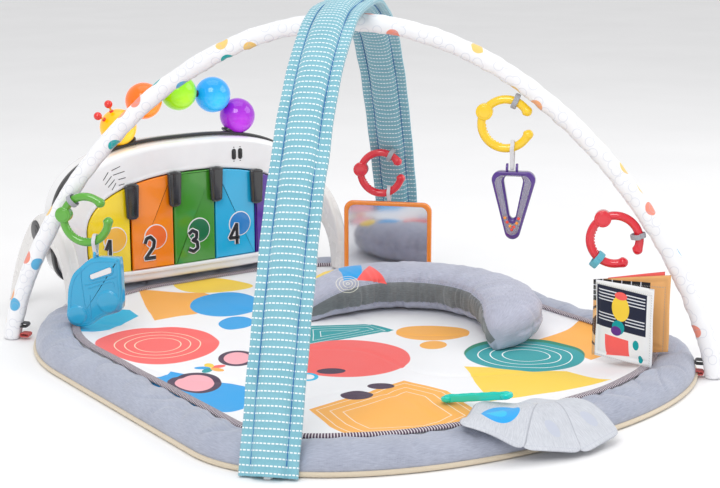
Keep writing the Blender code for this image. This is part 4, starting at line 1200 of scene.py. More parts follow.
def anchor_loop(key):
    """Band from the ring's hook point up to just short of the sleeve or strap."""
    centre = RINGS[key][0]
    held = on_ring(centre, HOOKS[key])
    path, skin_depth = (BLUE_PATH, 0.0095) if key == "red_mirror" else (WHITE_PATH, SLEEVE_RADIUS)
    target = path[np.linalg.norm(path - held, axis=1).argmin()]
    axis = ring_tangent(HOOKS[key])
    way = target - held
    way -= axis * np.dot(axis, way)
    reach = max(np.linalg.norm(target - held) - skin_depth - 0.0062 - 0.0011 - 0.0006, 0.0002)
    far = held + way / np.linalg.norm(way) * reach
    room = 0.0098 if key == "red_book" else 0.0084
    piece(f"loop_{key}_tape", webbing_loop(held, far, axis, room, 0.0062, 0.0066), "arches", GREY_TAPE,
          (f"loop_{key}",))


for ring_key, (ring_centre, ring_gap, _, _) in RINGS.items():
    link_ring(ring_key, ring_centre, ring_gap)
    anchor_loop(ring_key)

PINS = {key: on_ring(centre, tab) - UP * drop for key, (centre, _, tab, drop) in RINGS.items()}


def hanging_tab(key, toy):
    """White band from a ring's lowest point to the pin of its toy."""
    held = on_ring(RINGS[key][0], RINGS[key][2])
    piece(f"{toy}_tape", webbing_loop(held, PINS[key], RUN, 0.0083, 0.0030, 0.0052), toy, WHITE_TAPE,
          (f"{toy}_tab",))


def toy_place(centre):
    """Turns (right, up) and a depth towards AWAY into points round a toy's centre."""
    def place(outline, depth):
        return centre + outline[:, :1] * RUN + outline[:, 1:] * UP + depth * AWAY
    return place


def stroke(place, points, depth, width, thickness, closed=False, sides=16):
    """Raised line on a flat face: a low soft-edged section carried along the drawn points."""
    flat = np.asarray(points, float)
    path = place(flat, depth)
    face = (place(np.zeros((1, 2)), 0.0) - place(np.zeros((1, 2)), 1.0))[0]
    side = path_frames(path, np.broadcast_to(face, path.shape), closed)[1]
    made = carried(path, soft_box(width / 2, thickness / 2, 2.6, sides), side, closed=closed)
    return surface(made, lengths(path, closed), wrap_rows=closed, wrap_columns=True, caps=not closed)


def front_place(outline, depth):
    """Turns (x, z) and a y into points on the piano."""
    return np.column_stack([outline[:, 0], np.full(len(outline), depth), outline[:, 1]])


# ---------------------------------------------------------------- van

VAN_OUTLINE = [(-0.024, 0.000), (-0.013, 0.009), (0.0, 0.013), (0.026, 0.013), (0.0305, 0.009),
               (0.032, -0.020),
               (0.032, -0.049), (0.029, -0.059), (0.018, -0.064), (0.006, -0.068), (-0.002, -0.073),
               (-0.014, -0.081), (-0.030, -0.0845), (-0.042, -0.080), (-0.047, -0.070), (-0.046, -0.058),
               (-0.045, -0.045), (-0.043, -0.030), (-0.036, -0.012)]


def van():
    """Hollow moulded toy: its outline as a slab, with raised panel lines, a window frame, wheels and a top
    lug."""
    centre = PINS["green"] - UP * 0.0190 + RUN * 0.005
    place = toy_place(centre)
    outline = smooth_closed(np.array(VAN_OUTLINE)[::-1], 220)
    parts = [slab(outline, place, -0.0085, 0.0085, 0.0034, 8)]
    for face in (-1, 1):
        d = face * 0.0085
        parts.append(stroke(place, offset(outline, 0.0052), d, 0.0016, 0.0012, closed=True))
        for line in ([(-0.0241, -0.0030), (-0.0240, -0.0200), (-0.0222, -0.0360), (-0.0206, -0.0500)],
                     [(-0.0150, -0.0300), (0.0060, -0.0225), (0.0190, -0.0185), (0.0215, -0.0210),
                      (0.0218, -0.0262)],
                     [(-0.0185, -0.0255), (0.0255, -0.0120)],
                     [(-0.0125, -0.0390), (-0.0122, -0.0740)],
                     [(-0.0205, -0.0510), (-0.0160, -0.0640), (-0.0125, -0.0745)]):
            parts.append(stroke(place, dense(line, 30), d, 0.0017, 0.0016))
        frame_line = rounded_polygon([(-0.0125, -0.0195), (0.0205, -0.0080), (0.0205, 0.0035),
                                      (-0.0125, -0.0105)],
                                     [0.0035] * 4)
        parts.append(stroke(place, frame_line, d, 0.0022, 0.0026, closed=True))
    for x, z, radius, wide in ((0.0135, -0.0470, 0.0166, 0.0205), (-0.0312, -0.0675, 0.0142, 0.0200)):
        hub = centre + RUN * x + UP * z
        parts += [disc(hub, AWAY, radius, wide, 0.0030, 64),
                  disc(hub, AWAY, radius * 0.86, wide + 0.0012, 0.0012, 64)]
    lug_turn = np.linspace(0, 2 * math.pi, 60, endpoint=False)
    pin = PINS["green"]
    lug_path = pin + 0.0058 * (np.cos(lug_turn)[:, None] * AWAY + np.sin(lug_turn)[:,
                                                                                   None] * UP) - UP * 0.0046
    parts.append(surface(carried(lug_path, round_section(0.0019, 14), np.broadcast_to(RUN, lug_path.shape),
                                 closed=True), wrap_rows=True, wrap_columns=True))
    piece("van_shell", parts, "van", plastic("van_finish", rgb(0.01, 0.38, 0.66), 0.10, 0.9),
          ("van_toy",), sharp=50)
    window = rounded_polygon([(-0.0110, -0.0180), (0.0190, -0.0068), (0.0190, 0.0020), (-0.0110, -0.0100)],
                             [0.0028] * 4)
    piece("van_window", [slab(window, place, -0.0092, 0.0092, 0.0004, 3)], "van",
          plastic("van_pane", rgb(0.80, 0.82, 0.83), 0.25, 0.3))
    hanging_tab("green", "van")


van()

# ---------------------------------------------------------------- triangle


def triangle_outline():
    """Long triangle pointing down: three corner arcs joined by straight sides."""
    arcs = []
    for x, z, first, last, radius in ((0.0165, -0.0115, -16, 90, 0.0115), (-0.0165, -0.0115, 90, 196, 0.0115),
                                      (0.0, -0.0785, 196, 344, 0.0100)):
        turn = np.radians(np.linspace(first, last, 24))
        arcs.append(np.column_stack([x + radius * np.cos(turn), z + radius * np.sin(turn)]))
    return resampled(np.vstack(arcs), 240)


def triangle():
    """Rattle: a purple rounded frame with a clear bulging tube on its face, beads in the lower point, two
    lugs."""
    centre = PINS["yellow"] - UP * 0.0060 + RUN * 0.002
    place = toy_place(centre)
    outer = triangle_outline()
    inner = outer * (0.42, 0.62) + (0.0, -0.0155 * (1 - 0.62))
    frame_parts = [ring_slab(outer, inner, place, -0.0040, 0.0100, 4.0)]
    for side in (-1, 1):
        here = PINS["yellow"] + RUN * side * 0.0062 - UP * 0.0015
        frame_parts.append(disc(here, RUN, 0.0056, 0.0032, 0.0010))
    piece("triangle_shell", frame_parts, "triangle",
          plastic("triangle_finish", rgb(0.075, 0.018, 0.25), 0.12, 0.8),
          ("triangle_frame",))
    tube_outer = outer * (0.82, 0.87) + (0.0, -0.034 * (1 - 0.87))
    tube_inner = outer * (0.52, 0.70) + (0.0, -0.0165 * (1 - 0.70))
    piece("triangle_tube", ring_slab(tube_outer, tube_inner, place, -0.0112, -0.0040, 2.4), "triangle",
          clear_plastic("triangle_clear", rgb(0.90, 0.88, 0.96)), ("triangle_window",))
    spots = [(-0.0060, -0.0640), (-0.0022, -0.0690), (0.0028, -0.0700), (0.0062, -0.0650), (0.0000, -0.0735),
             (-0.0088, -0.0585), (0.0085, -0.0590)]
    for tint, chosen in ((rgb(0.85, 0.05, 0.03), spots[::2]), (rgb(0.95, 0.30, 0.02), spots[1::2])):
        beads = [ball(place(np.array([spot]), -0.0102)[0], 0.0021, 12, 16) for spot in chosen]
        name = "red_beads" if tint[1] < 0.1 else "orange_beads"
        piece(name, beads, "triangle", plastic(name + "_finish", tint, 0.1, 0.8))
    hanging_tab("yellow", "triangle")


triangle()

# ---------------------------------------------------------------- mirror


def box_outline(half_width, low, high, corner):
    """Upright oblong with round corners."""
    return rounded_polygon([(-half_width, low), (half_width, low), (half_width, high), (-half_width, high)],
                           [corner] * 4)


def mirror():
    """Framed film mirror with a plain back."""
    centre = PINS["red_mirror"] - UP * 0.0045 - RUN * 0.0017
    place = toy_place(centre)
    outer = box_outline(0.0670, -0.118, 0.0, 0.014)
    inner = box_outline(0.0600, -0.111, -0.007, 0.010)
    piece("mirror_rim", ring_slab(outer, inner, place, -0.0056, 0.0030, 3.0), "mirror",
          plastic("mirror_rim_finish", rgb(0.93, 0.26, 0.02), 0.14, 0.7), ("mirror_frame",))
    piece("mirror_film_plate", slab(box_outline(0.0612, -0.1122, -0.0058, 0.010), place, -0.0030, -0.0010,
                                    0.0003, 3),
          "mirror", mirror_film(), ("mirror_plate",))
    piece("mirror_rear", slab(box_outline(0.0640, -0.115, -0.003, 0.012), place, 0.0031, 0.0060, 0.0010),
          "mirror",
          plastic("mirror_rear_finish", rgb(0.80, 0.80, 0.82), 0.3, 0.3), ("mirror_back",))
    hanging_tab("red_mirror", "mirror")


mirror()

# ---------------------------------------------------------------- book

SPINE = np.array([0.2075, -0.2515, 0.0])
PAGE_LOW, PAGE_HEIGHT = 0.0250, 0.100


def book_page(name, body, heading, lift, start, length, finish, node):
    """Padded cloth page: a lens-shaped section at each height, thin at the sewn border and puffy inside
    it."""
    heading = np.array([heading[0], heading[1], 0.0])
    heading /= np.linalg.norm(heading)
    side = np.array([-heading[1], heading[0], 0.0])
    rows, half_columns = 70, 60
    v = np.linspace(0, 1, rows)[:, None]
    u = np.concatenate([np.linspace(0, 1, half_columns), np.linspace(1, 0, half_columns)])[None]
    face = np.concatenate([np.ones(half_columns), -np.ones(half_columns)])[None]
    border = np.minimum(np.minimum(u, 1 - u), np.minimum(v, 1 - v))
    edge = np.clip(border / 0.03, 0, 1) ** 0.5
    puff = 1 - np.exp(-np.clip(border - 0.07, 0, None) * 14)
    dip = np.exp(-((border - 0.075) / 0.018) ** 2)
    half = 0.0002 + 0.0016 * edge + 0.0022 * puff - 0.0007 * dip
    wave = ripple(u * 5, v * 5, 61 + len(name)) * 0.0010
    along = start + (length - start) * u
    rise = lift * along / length
    pull = ripple(v * 7, u * 3, 67) * 0.0008 * (border < 0.05)
    points = (SPINE + (along + pull)[..., None] * heading + (face * half + wave)[..., None] * side
              + (PAGE_LOW + rise + v * PAGE_HEIGHT + pull)[..., None] * UP)
    made = piece(name, surface(points, wrap_columns=True, caps=True), body, finish, (node,),
                 flat=(SPINE + heading * start + UP * PAGE_LOW, heading, UP))


def book():
    """Three printed pages on one spine and the ribbon that hangs them."""
    stitched = {"Centre": (0.0465, 0.050, 0.0), "Half_Length": 0.0440, "Half_Width": 0.0465, "Turn": 0.0}
    border = rgb(0.85, 0.86, 0.88)
    navy = rgb(0.014, 0.018, 0.045)
    line = rgb(0.75, 0.78, 0.85)
    front = [block(navy, 0.0440, 0.0690, 0.0400, 0.0265, 0)]
    front += [block(line, x, z, 0.0150, 0.0007, 0) for x in (0.0215, 0.0670)
              for z in (0.0900, 0.0860, 0.0820, 0.0780, 0.0600, 0.0560, 0.0520)]
    front += [oval(YELLOW, 0.044, 0.0710, 0.0140, 0.0165, 0, 0.05),
              oval(CORAL, 0.044, 0.0870, 0.0100, 0.0050, 0, 0.15),
              oval(TEAL, 0.041, 0.0460, 0.0100, 0.0090, 0, 0.1),
              oval(rgb(0.12, 0.03, 0.25), 0.038, 0.0410, 0.0085, 0.0060, 0, 0.1),
              block(CORAL, 0.040, 0.0210, 0.0190, 0.0120, 4, -0.15),
              oval(TEAL, 0.0700, 0.0290, 0.0045, 0.0060, 0, 0.4),
              oval(TEAL, 0.0770, 0.0120, 0.0035, 0.0050, 0, 0.4)]
    book_page("page_front", "book_front", (0.10, -0.98), 0.005, 0.0010, 0.094,
              page_print("page_front_print", border, front, stitched), "book_front")
    tan = rgb(0.80, 0.42, 0.16)
    brown = rgb(0.10, 0.045, 0.025)
    middle = [oval(brown, 0.028, 0.040, 0.0400, 0.0330, 0, 0.0),
              oval(tan, 0.028, 0.040, 0.0370, 0.0300, 0, 0.0),
              oval(rgb(0.85, 0.50, 0.22), 0.028, 0.040, 0.0340, 0.0275, 0, 0.0),
              oval(brown, 0.028, 0.040, 0.0290, 0.0225, 0, 0.0),
              block(rgb(0.02, 0.02, 0.025), 0.036, 0.087, 0.0360, 0.0140, 0)]
    middle += [block(line, x, 0.087, 0.0006, 0.0140, 0) for x in (0.012, 0.024, 0.036, 0.048, 0.060)]
    middle += [block(line, 0.036, z, 0.0360, 0.0005, 0) for z in (0.080, 0.0865, 0.093)]
    book_page("page_middle", "book", (0.60, -0.80), 0.0125, -0.003, 0.094,
              page_print("page_middle_print", tan, middle, stitched), "book_middle")
    back = [block(rgb(0.9, 0.9, 0.9) if k % 2 else rgb(0.02, 0.02, 0.03), 0.006 + 0.0095 * k, 0.032, 0.0048,
                  0.030, 0)
            for k in range(7)]
    book_page("page_back", "book_back", (0.76, -0.65), 0.0120, 0.0150, 0.086,
              page_print("page_back_print", rgb(0.90, 0.14, 0.13), back,
                         {**stitched, "Centre": (0.0355, 0.050, 0.0),
                                                                          "Half_Length": 0.033}),
              "book_back")
    held = on_ring(RINGS["red_book"][0], RINGS["red_book"][2])
    piece("ribbon", webbing_loop(held, held - UP * 0.0035, ring_tangent(RINGS["red_book"][2]), 0.0075, 0.0105,
                                 0.0090), "book",
                                 webbing("ribbon_tape", rgb(0.25, 0.66, 0.75), rgb(0.06, 0.36, 0.50)),
          ("book_ribbon",))


book()

# ---------------------------------------------------------------- pillow

PILLOW_CENTRE = np.array([0.083, -0.012])
PILLOW_RADIUS = 0.143


def pillow_point(part, angle):
    """Points of the crescent for arrays of place along it (-1 to 1) and angle round its section."""
    turn = np.radians(26 + 96 * part)
    grow = np.sqrt(1 - np.abs(part) ** 4.5 * 0.975)
    half = (0.080 - 0.0185) / 2
    c, s = np.cos(angle), np.sin(angle)
    across = signed_power(c, 0.82) * 0.0475 * grow
    height = signed_power(s, 0.86) * half * (0.35 + 0.65 * grow)
    flank = np.abs(c) ** 2
    pull = ripple(part * 34, angle * 1.2, 71) * 0.0016 * (0.3 + flank)
    fine = ripple(part * 120, angle * 2.5, 72) * 0.0007 * (0.4 + flank)
    seam = np.exp(-((np.angle(np.exp(1j * (angle - math.pi + 0.50)))) / 0.10) ** 2)
    seam = seam + np.exp(-((np.angle(np.exp(1j * (angle - math.pi - 0.50)))) / 0.10) ** 2)
    seam = seam + 0.8 * np.exp(-((np.angle(np.exp(1j * angle))) / 0.07) ** 2)
    tuck = seam * (0.0016 + 0.0010 * ripple(part * 260, 0.0, 73))
    scale = 1 + (pull + fine - tuck) / 0.035
    radial = np.stack([np.cos(turn), np.sin(turn)], axis=-1)
    flat = PILLOW_CENTRE + radial * (PILLOW_RADIUS + across * scale)[..., None]
    z = 0.0185 + half + height * scale - half * 0.65 * (1 - grow)
    sag = np.maximum(z, 0.0186)
    return np.concatenate([flat, sag[..., None]], axis=-1)


def pillow_cloth():
    """Heather jersey, with a darker band round the inner side and printed corner shapes near the left end."""
    t, shader, made, _, uv = new_material("pillow_cloth")
    u, v, _ = t.split(uv)
    light = use(t, HEATHER, Place=uv, Dark=rgb(0.30, 0.31, 0.40), Light=rgb(0.58, 0.60, 0.72))
    dark = use(t, HEATHER, Place=uv, Dark=rgb(0.10, 0.11, 0.12), Light=rgb(0.24, 0.26, 0.27))
    middle = t.math("ABSOLUTE", t.minus(v, GUSSET_MIDDLE))
    gusset = t.rest(t.step(middle, 0.0165, 0.0010))
    colour = t.mix(gusset, light["Colour"], dark["Colour"])
    stitch = t.times(t.stripe(u, 0.0042, 0.6), t.rest(t.step(
        t.math("ABSOLUTE", t.minus(middle, 0.0185)), 0.0005, 0.0004)))
    colour = t.mix(t.times(stitch, 0.6), colour, rgb(0.16, 0.17, 0.24))
    colour = layer_shapes(t, uv, colour, PILLOW_SHAPES)
    rings = use(t, ELLIPSE, Place=uv, **ellipse(0.420, 0.092, 0.024, 0.020, 0, 0.0))["Level"]
    near = t.math("ABSOLUTE", t.minus(t.math("FRACT", t.times(rings, 4.0)), 0.5))
    on = t.times(t.rest(t.step(near, 0.10, 0.05)),
                t.rest(t.step(rings, 1.0, 0.01)))
    colour = t.mix(t.times(on, 0.8), colour, rgb(0.90, 0.88, 0.74))
    cloth_shader(t, shader, colour, uv, 3600.0, 0.35)
    return made


GUSSET_MIDDLE = 0.5 * 0.24
PILLOW_SHAPES = [
    oval(YELLOW, 0.424, 0.040, 0.022, 0.013, 0, 0.2),
    (EDGE, BLUE, None, [(0.3953, 0.0458), (0.4223, 0.0832), (0.3893, 0.0882), (0.3684, 0.0558)]),
    (EDGE, CORAL, None, [(0.3594, 0.0608), (0.4013, 0.0907), (0.3444, 0.1056)]),
]


def pillow():
    """Stuffed crescent: an oval section carried round an arc, drawn in at both ends, with radial pulls at
    the seams."""
    part = np.sin(np.linspace(-1, 1, 420) * math.pi / 2 * 0.999)
    part = np.linspace(-1, 1, 420) * 0.55 + part * 0.45
    angle = np.arange(96) * 2 * math.pi / 96
    points = pillow_point(*np.meshgrid(part, angle, indexing="ij"))
    along = (part + 1) / 2 * math.radians(192) * PILLOW_RADIUS
    made = piece("cushion", surface(points, along, np.linspace(0, 0.24, 97), wrap_columns=True, caps=True),
                 "pillow",
                 pillow_cloth(), ("pillow",))


pillow()

# ---------------------------------------------------------------- cards


def mat_inset(x, y):
    """Distance inside the front edge, from the front superellipse."""
    ahead = np.maximum(CORNER_Y - y, 0) / FRONT_REACH
    level = (np.abs(x / HALF) ** FRONT_POWER + ahead ** FRONT_POWER) ** (1 / FRONT_POWER)
    return (1 - level) * FRONT_REACH


def card_height(x, y, layer):
    """Underside of a card: level on the pad, up over the piping and rim, then down to the floor."""
    insets = (-0.060, -0.046, -0.020, -0.004, 0.012, 0.028, 0.042, 0.055, 0.075, 0.30)
    heights = (0.0012, 0.0035, 0.0180, 0.0300, 0.0368, 0.0378, 0.0350, 0.0285, 0.0250, 0.0250)
    near = mat_inset(x, y)
    smooth = sum(np.interp(near + shift, insets, heights) for shift in (-0.006, -0.003, 0, 0.003, 0.006)) / 5
    return smooth + layer * 0.0030


def card(name, top, heading, layer, finish, nodes):
    """Stuffed oblong with round corners, laid over the mat's edge; its thickness swells inside a sewn
    border."""
    steps = 71
    half_length, half_width = 0.0625, 0.038
    centre = (top[0] + half_length * math.cos(heading), top[1] + half_length * math.sin(heading))
    line = np.linspace(-1, 1, steps)
    u, v = np.meshgrid(line, line)
    power = 7.0
    reach = np.maximum(np.abs(u), np.abs(v))
    norm = (np.abs(u) ** power + np.abs(v) ** power) ** (1 / power)
    shrink = np.where(norm > 1e-6, reach / np.maximum(norm, 1e-6), 1.0)
    u2, v2 = u * shrink * half_length, v * shrink * half_width
    c, s = math.cos(heading), math.sin(heading)
    x, y = centre[0] + u2 * c - v2 * s, centre[1] + u2 * s + v2 * c
    border = np.clip((1 - reach) / 0.06, 0, 1)
    puff = 1 - np.exp(-np.clip(1 - reach - 0.10, 0, None) * 16)
    dip = np.exp(-((1 - reach - 0.11) / 0.03) ** 2)
    low = card_height(x, y, layer)
    wave = ripple(x * 45, y * 45, 81 + int(layer * 2)) * 0.00030
    thick = 0.0003 + 0.0010 * border ** 0.5 + 0.0010 * puff - 0.0004 * dip
    crown = np.stack([x, y, low + thick + wave * border], axis=-1)
    base = np.stack([x, y, low + wave * border * 0.6], axis=-1)
    size = steps * steps
    quads, _, _ = grid_faces(steps, steps, False, False)
    rim = np.concatenate([np.arange(steps - 1), np.arange(steps - 1) * steps + steps - 1,
                          size - 1 - np.arange(steps - 1), (np.arange(steps - 1, 0, -1)) * steps])
    ahead = np.roll(rim, -1)
    sides = np.stack([rim, ahead, ahead + size, rim + size], 1)
    faces = quads.tolist() + (quads[:, ::-1] + size).tolist() + sides.tolist()
    points = np.vstack([crown.reshape(-1, 3), base.reshape(-1, 3)])
    axis = np.array([c, s, 0.0])
    made = piece(name, (points, faces, None), "cards", finish, nodes,
                 flat=((centre[0], centre[1], 0.0), axis, np.array([-s, c, 0.0])))


def card_cloth(name, shapes):
    """Pale heather felt with a line of stitching round it, and painted shade along its outer edge."""
    t, shader, made, _, uv = new_material(name)
    mixed = use(t, HEATHER, Place=uv, Dark=rgb(0.42, 0.44, 0.49), Light=rgb(0.68, 0.70, 0.75))
    colour = layer_shapes(t, uv, mixed["Colour"], shapes)
    edge = use(t, PANEL, Place=uv, Half_Length=0.0575, Half_Width=0.0330)["Level"]
    dash = t.stripe(t.plus(t.split(uv)[0], t.split(uv)[1]), 0.0030, 0.62)
    on = t.rest(t.step(t.math("ABSOLUTE", t.minus(edge, 1.0)), 0.010, 0.008))
    colour = t.mix(t.times(t.times(on, dash), 0.55), colour, rgb(0.45, 0.47, 0.55))
    # Painted shade: the felt darkens past its border, so the stacked cards stand apart.
    colour = t.mix(t.times(t.step(edge, 1.08, 0.04), 0.45), colour, rgb(0.20, 0.21, 0.26))
    cloth_shader(t, shader, colour, uv, 3600.0, 0.2)
    return made


def cards():
    """Three cards fanned over the front of the mat, with the bar that links them."""
    plain = card_cloth("card_plain_cloth", [oval(rgb(0.50, 0.53, 0.62), 0.035, 0.010, 0.010, 0.007,
                                                                                          20, 0.3)])
    card("card_lower", (-0.002, -0.345), math.radians(-79), 0.0, plain, ("card_bottom",))
    card("card_between", (-0.007, -0.345), math.radians(-109), 0.55, plain, ())
    drawn = [oval(BLUE, 0.002, 0.000, 0.040, 0.022, 8, 0.10),
             oval(CYAN, 0.012, -0.003, 0.018, 0.011, 30, 0.1)]
    card("card_upper", (-0.012, -0.345), math.radians(-139), 1, card_cloth("card_upper_cloth", drawn),
         ("card_top",))
    start, end = np.array([-0.050, -0.279, 0.0232]), np.array([-0.020, -0.350, 0.0403])
    along = (end - start) / np.linalg.norm(end - start)
    across = np.cross(along, UP)
    across /= np.linalg.norm(across)
    lift = np.cross(across, along)
    bar = webbing_loop(start, end, lift, 0.0020, 0.0020, 0.0088, 0.0022)
    tip = [disc(start, lift, 0.0078, 0.0060, 0.0018), disc(end, lift, 0.0078, 0.0060, 0.0018)]
    piece("link_bar", [bar, *tip], "cards", plastic("link_finish", rgb(0.0, 0.66, 0.54), 0.18, 0.5),
          ("card_link",))


cards()

# ---------------------------------------------------------------- piano

PIANO_X, PIANO_Z = -0.025, 0.120
CASE_TURN = (np.arange(288) + 0.5) * 2 * math.pi / 288


def egg(turn, half_width, up, down, power_up, power_down):
    """Superellipse outline whose upper and lower halves have their own heights and powers."""
    c, s = np.cos(turn), np.sin(turn)
    power = np.where(s >= 0, power_up, power_down)
    height = np.where(s >= 0, up, down)
    return np.column_stack([signed_power(c, 2 / power) * half_width,
                            signed_power(s, 2 / power) * height])


def case_ring(grow=0.0):
    """Outline of the piano's case, grown by an amount."""
    return egg(CASE_TURN, 0.212 + grow, 0.122 + grow, 0.0825 + grow, 2.7, 5.0) + (PIANO_X, PIANO_Z)


def bay_ring(grow=0.0):
    """Outline of the key bay, grown by an amount."""
    return egg(CASE_TURN, 0.1755 + grow, 0.0765 + grow, 0.0650 + grow, 2.25, 6.0) + (PIANO_X, PIANO_Z)


GLOSS_WHITE = plastic("case_white", rgb(0.86, 0.86, 0.87), 0.10, 0.9)
GLOSS_BLACK = plastic("case_black", rgb(0.012, 0.012, 0.014), 0.10, 0.9)
SATIN_BLACK = plastic("trim_black", rgb(0.020, 0.020, 0.022), 0.28, 0.4)
LEG_WHITE = plastic("leg_white", rgb(0.78, 0.76, 0.74), 0.22, 0.5)


def piano_front():
    """Moulded case front: rings from the key bay's lip outwards over a crowned face to the case's round
    edge."""
    bay, case = bay_ring(), case_ring()
    lip = [(0.0, 0.3775), (0.0, 0.3690), (0.0006, 0.3668), (0.0020, 0.3656), (0.0042, 0.3654),
           (0.0062, 0.3662)]
    rings = [front_place(bay_ring(grow), y) for grow, y in lip]
    gate = bay_ring(0.0062)
    for share in np.linspace(0.06, 0.94, 14):
        rings.append(front_place(gate + (case_ring(-0.0085) - gate) * share, 0.3662))
    turn = np.linspace(0, math.pi / 2, 12)
    for a in turn:
        rings.append(front_place(case_ring(-0.0085 + 0.0085 * math.sin(a)), 0.3775 - 0.0113 * math.cos(a)))
    rings.append(front_place(case, 0.3870))
    rings.append(front_place(case, 0.3955))
    rings.append(front_place(case_ring(-0.0008), 0.3960))
    rings = np.array(rings)
    piece("piano_face", surface(rings, lengths(rings[:, 0]), lengths(bay, closed=True), wrap_columns=True,
                                caps=True),
          "piano_body", GLOSS_WHITE, ("piano_front",))
    floor = slab(resampled(bay_ring(-0.0006), 240), front_place, 0.3754, 0.3772, 0.0004, 3)
    piece("bay_floor", floor, "piano_body", SATIN_BLACK)


def piano_rear():
    """Case back with a rounded rear edge, and the dark seam trim between the halves."""
    rings = [front_place(case_ring(-0.0010), 0.4040), front_place(case_ring(0.0), 0.4046)]
    for a in np.linspace(0, math.pi / 2, 12):
        rings.append(front_place(case_ring(-0.010 + 0.010 * math.cos(a)), 0.4300 + 0.0100 * math.sin(a)))
    rings.append(front_place(case_ring(-0.020), 0.4402))
    rings = np.array(rings)
    parts = [surface(rings, lengths(rings[:, 0]), wrap_columns=True, caps=True)]
    for x, z in ((-0.15, 0.10), (0.10, 0.10), (-0.13, 0.19), (0.08, 0.19)):
        parts.append(disc((x, 0.4404, z), (0, 1, 0), 0.0042, 0.0016, 0.0005, 28))
    piece("piano_rear", parts, "piano_body", GLOSS_WHITE, ("piano_back",), sharp=40)
    door = box_like(-0.025, 0.1175, 0.050, 0.0325, 0.004)
    ribs = [slab(box_like(-0.025 + 0.012 * k, 0.135, 0.0016, 0.008, 0.0012), front_place, 0.4415, 0.4432,
                 0.0004, 3)
            for k in (-1, 0, 1)]
    piece("door_panel", [slab(door, front_place, 0.4401, 0.4423, 0.0006, 4), *ribs], "piano_body",
          GLOSS_WHITE,
          ("battery_door",), sharp=40)
    trim = ring_slab(case_ring(0.0042), case_ring(-0.0040), front_place, 0.3940, 0.4050, 4.0)
    piece("seam_trim", trim, "piano_body", SATIN_BLACK, ("piano_trim",))


def box_like(x, z, half_width, half_height, corner):
    """Oblong with round corners about a point of the case."""
    return rounded_polygon([(x - half_width, z - half_height), (x + half_width, z - half_height),
                            (x + half_width, z + half_height), (x - half_width, z + half_height)],
                            [corner] * 4)


def bay_limit(x, upper, inset):
    """Height of the key bay's edge at x."""
    height, power = (0.0765, 2.25) if upper else (0.0650, 6.0)
    share = np.clip(1 - (np.abs(x) / (0.1755 - inset)) ** power, 0, 1) ** (1 / power)
    return PIANO_Z + (1 if upper else -1) * (height - inset) * share


DIGITS = {
    1: [[(-0.30, 0.55), (0.05, 1.0), (0.05, 0.0)]],
    2: [[(-0.45, 0.72), (-0.30, 0.95), (0.05, 1.0), (0.38, 0.80), (0.30, 0.52), (-0.45, 0.02), (0.48, 0.02)]],
    3: [[(-0.42, 0.85), (-0.10, 1.0), (0.30, 0.88), (0.28, 0.62), (-0.08, 0.54), (0.34, 0.42), (0.38, 0.14),
         (0.00, 0.0), (-0.44, 0.12)]],
    4: [[(0.22, 0.0), (0.22, 1.0), (-0.46, 0.32), (0.46, 0.32)]],
    5: [[(0.38, 0.98), (-0.32, 0.98), (-0.38, 0.55), (0.05, 0.62), (0.40, 0.40), (0.30, 0.10), (-0.02, 0.0),
         (-0.42, 0.10)]],
}
KEY_TINTS = (("yellow", rgb(0.98, 0.72, 0.0)), ("orange", rgb(0.98, 0.25, 0.0)),
             ("green", rgb(0.05, 0.30, 0.02)),
             ("cyan", rgb(0.01, 0.45, 0.78)), ("purple", rgb(0.09, 0.012, 0.35)))


KEYS_LEFT, KEY_PITCH = -0.175, 0.070


def key(number, tint_name, tint):
    """Bar key whose ends follow the bay's edges, with a raised round medallion and its number."""
    body = f"key_{number}"
    left = KEYS_LEFT + KEY_PITCH * (number - 1) + 0.0010
    right = left + 0.068
    left, right = max(left, -0.1737), min(right, 0.1737)
    x = np.linspace(left, right, 60)
    top = bay_limit(x, True, 0.0015)
    low = bay_limit(x, False, 0.0015)
    outline = np.vstack([np.column_stack([x + PIANO_X, low]), np.column_stack([x + PIANO_X, top])[::-1]])
    outline = resampled(outline, 300)
    shape = slab(outline, front_place, 0.3658, 0.3721, 0.0022, 7)
    finish = plastic(f"key_{tint_name}", tint, 0.10, 0.9)
    piece(f"key_{number}_cap", shape, body, finish, (body,), sharp=60)
    x, z = KEY_MARKS[number - 1]
    badge = [disc((x + 0.007, 0.3656, z + 0.012), (0, 1, 0), 0.0190, 0.0012, 0.0005, 56)]
    piece(f"key_{number}_halo", badge, body, GLOSS_WHITE)
    inner = [disc((x + 0.007, 0.3650, z + 0.012), (0, 1, 0), 0.0175, 0.0010, 0.0004, 56)]
    piece(f"key_{number}_badge", inner, body, plastic(f"badge_{number}", BADGE_TINTS[number - 1], 0.15, 0.7))
    for grow, colour, name in ((0.0014, GLOSS_WHITE, "outline"), (0.0, GLOSS_BLACK, "figure")):
        parts = []
        for drawn in DIGITS[number]:
            line = np.array(drawn) * (0.0185, 0.0320) + (x - 0.003, z - 0.0190)
            parts.append(stroke(front_place, dense(line, 60), 0.3644 - (0.0 if grow else 0.00035),
                                0.0056 + 2 * grow, 0.0006))
        piece(f"key_{number}_{name}", parts, body, colour)


KEY_MARKS = ((-0.1640, 0.0960), (-0.0985, 0.0920), (-0.0260, 0.0930), (0.0450, 0.0945), (0.1150, 0.0960))
BADGE_TINTS = (rgb(0.95, 0.50, 0.05), rgb(0.93, 0.16, 0.02), rgb(0.00, 0.16, 0.05), rgb(0.01, 0.22, 0.60),
               rgb(0.85, 0.82, 0.80))


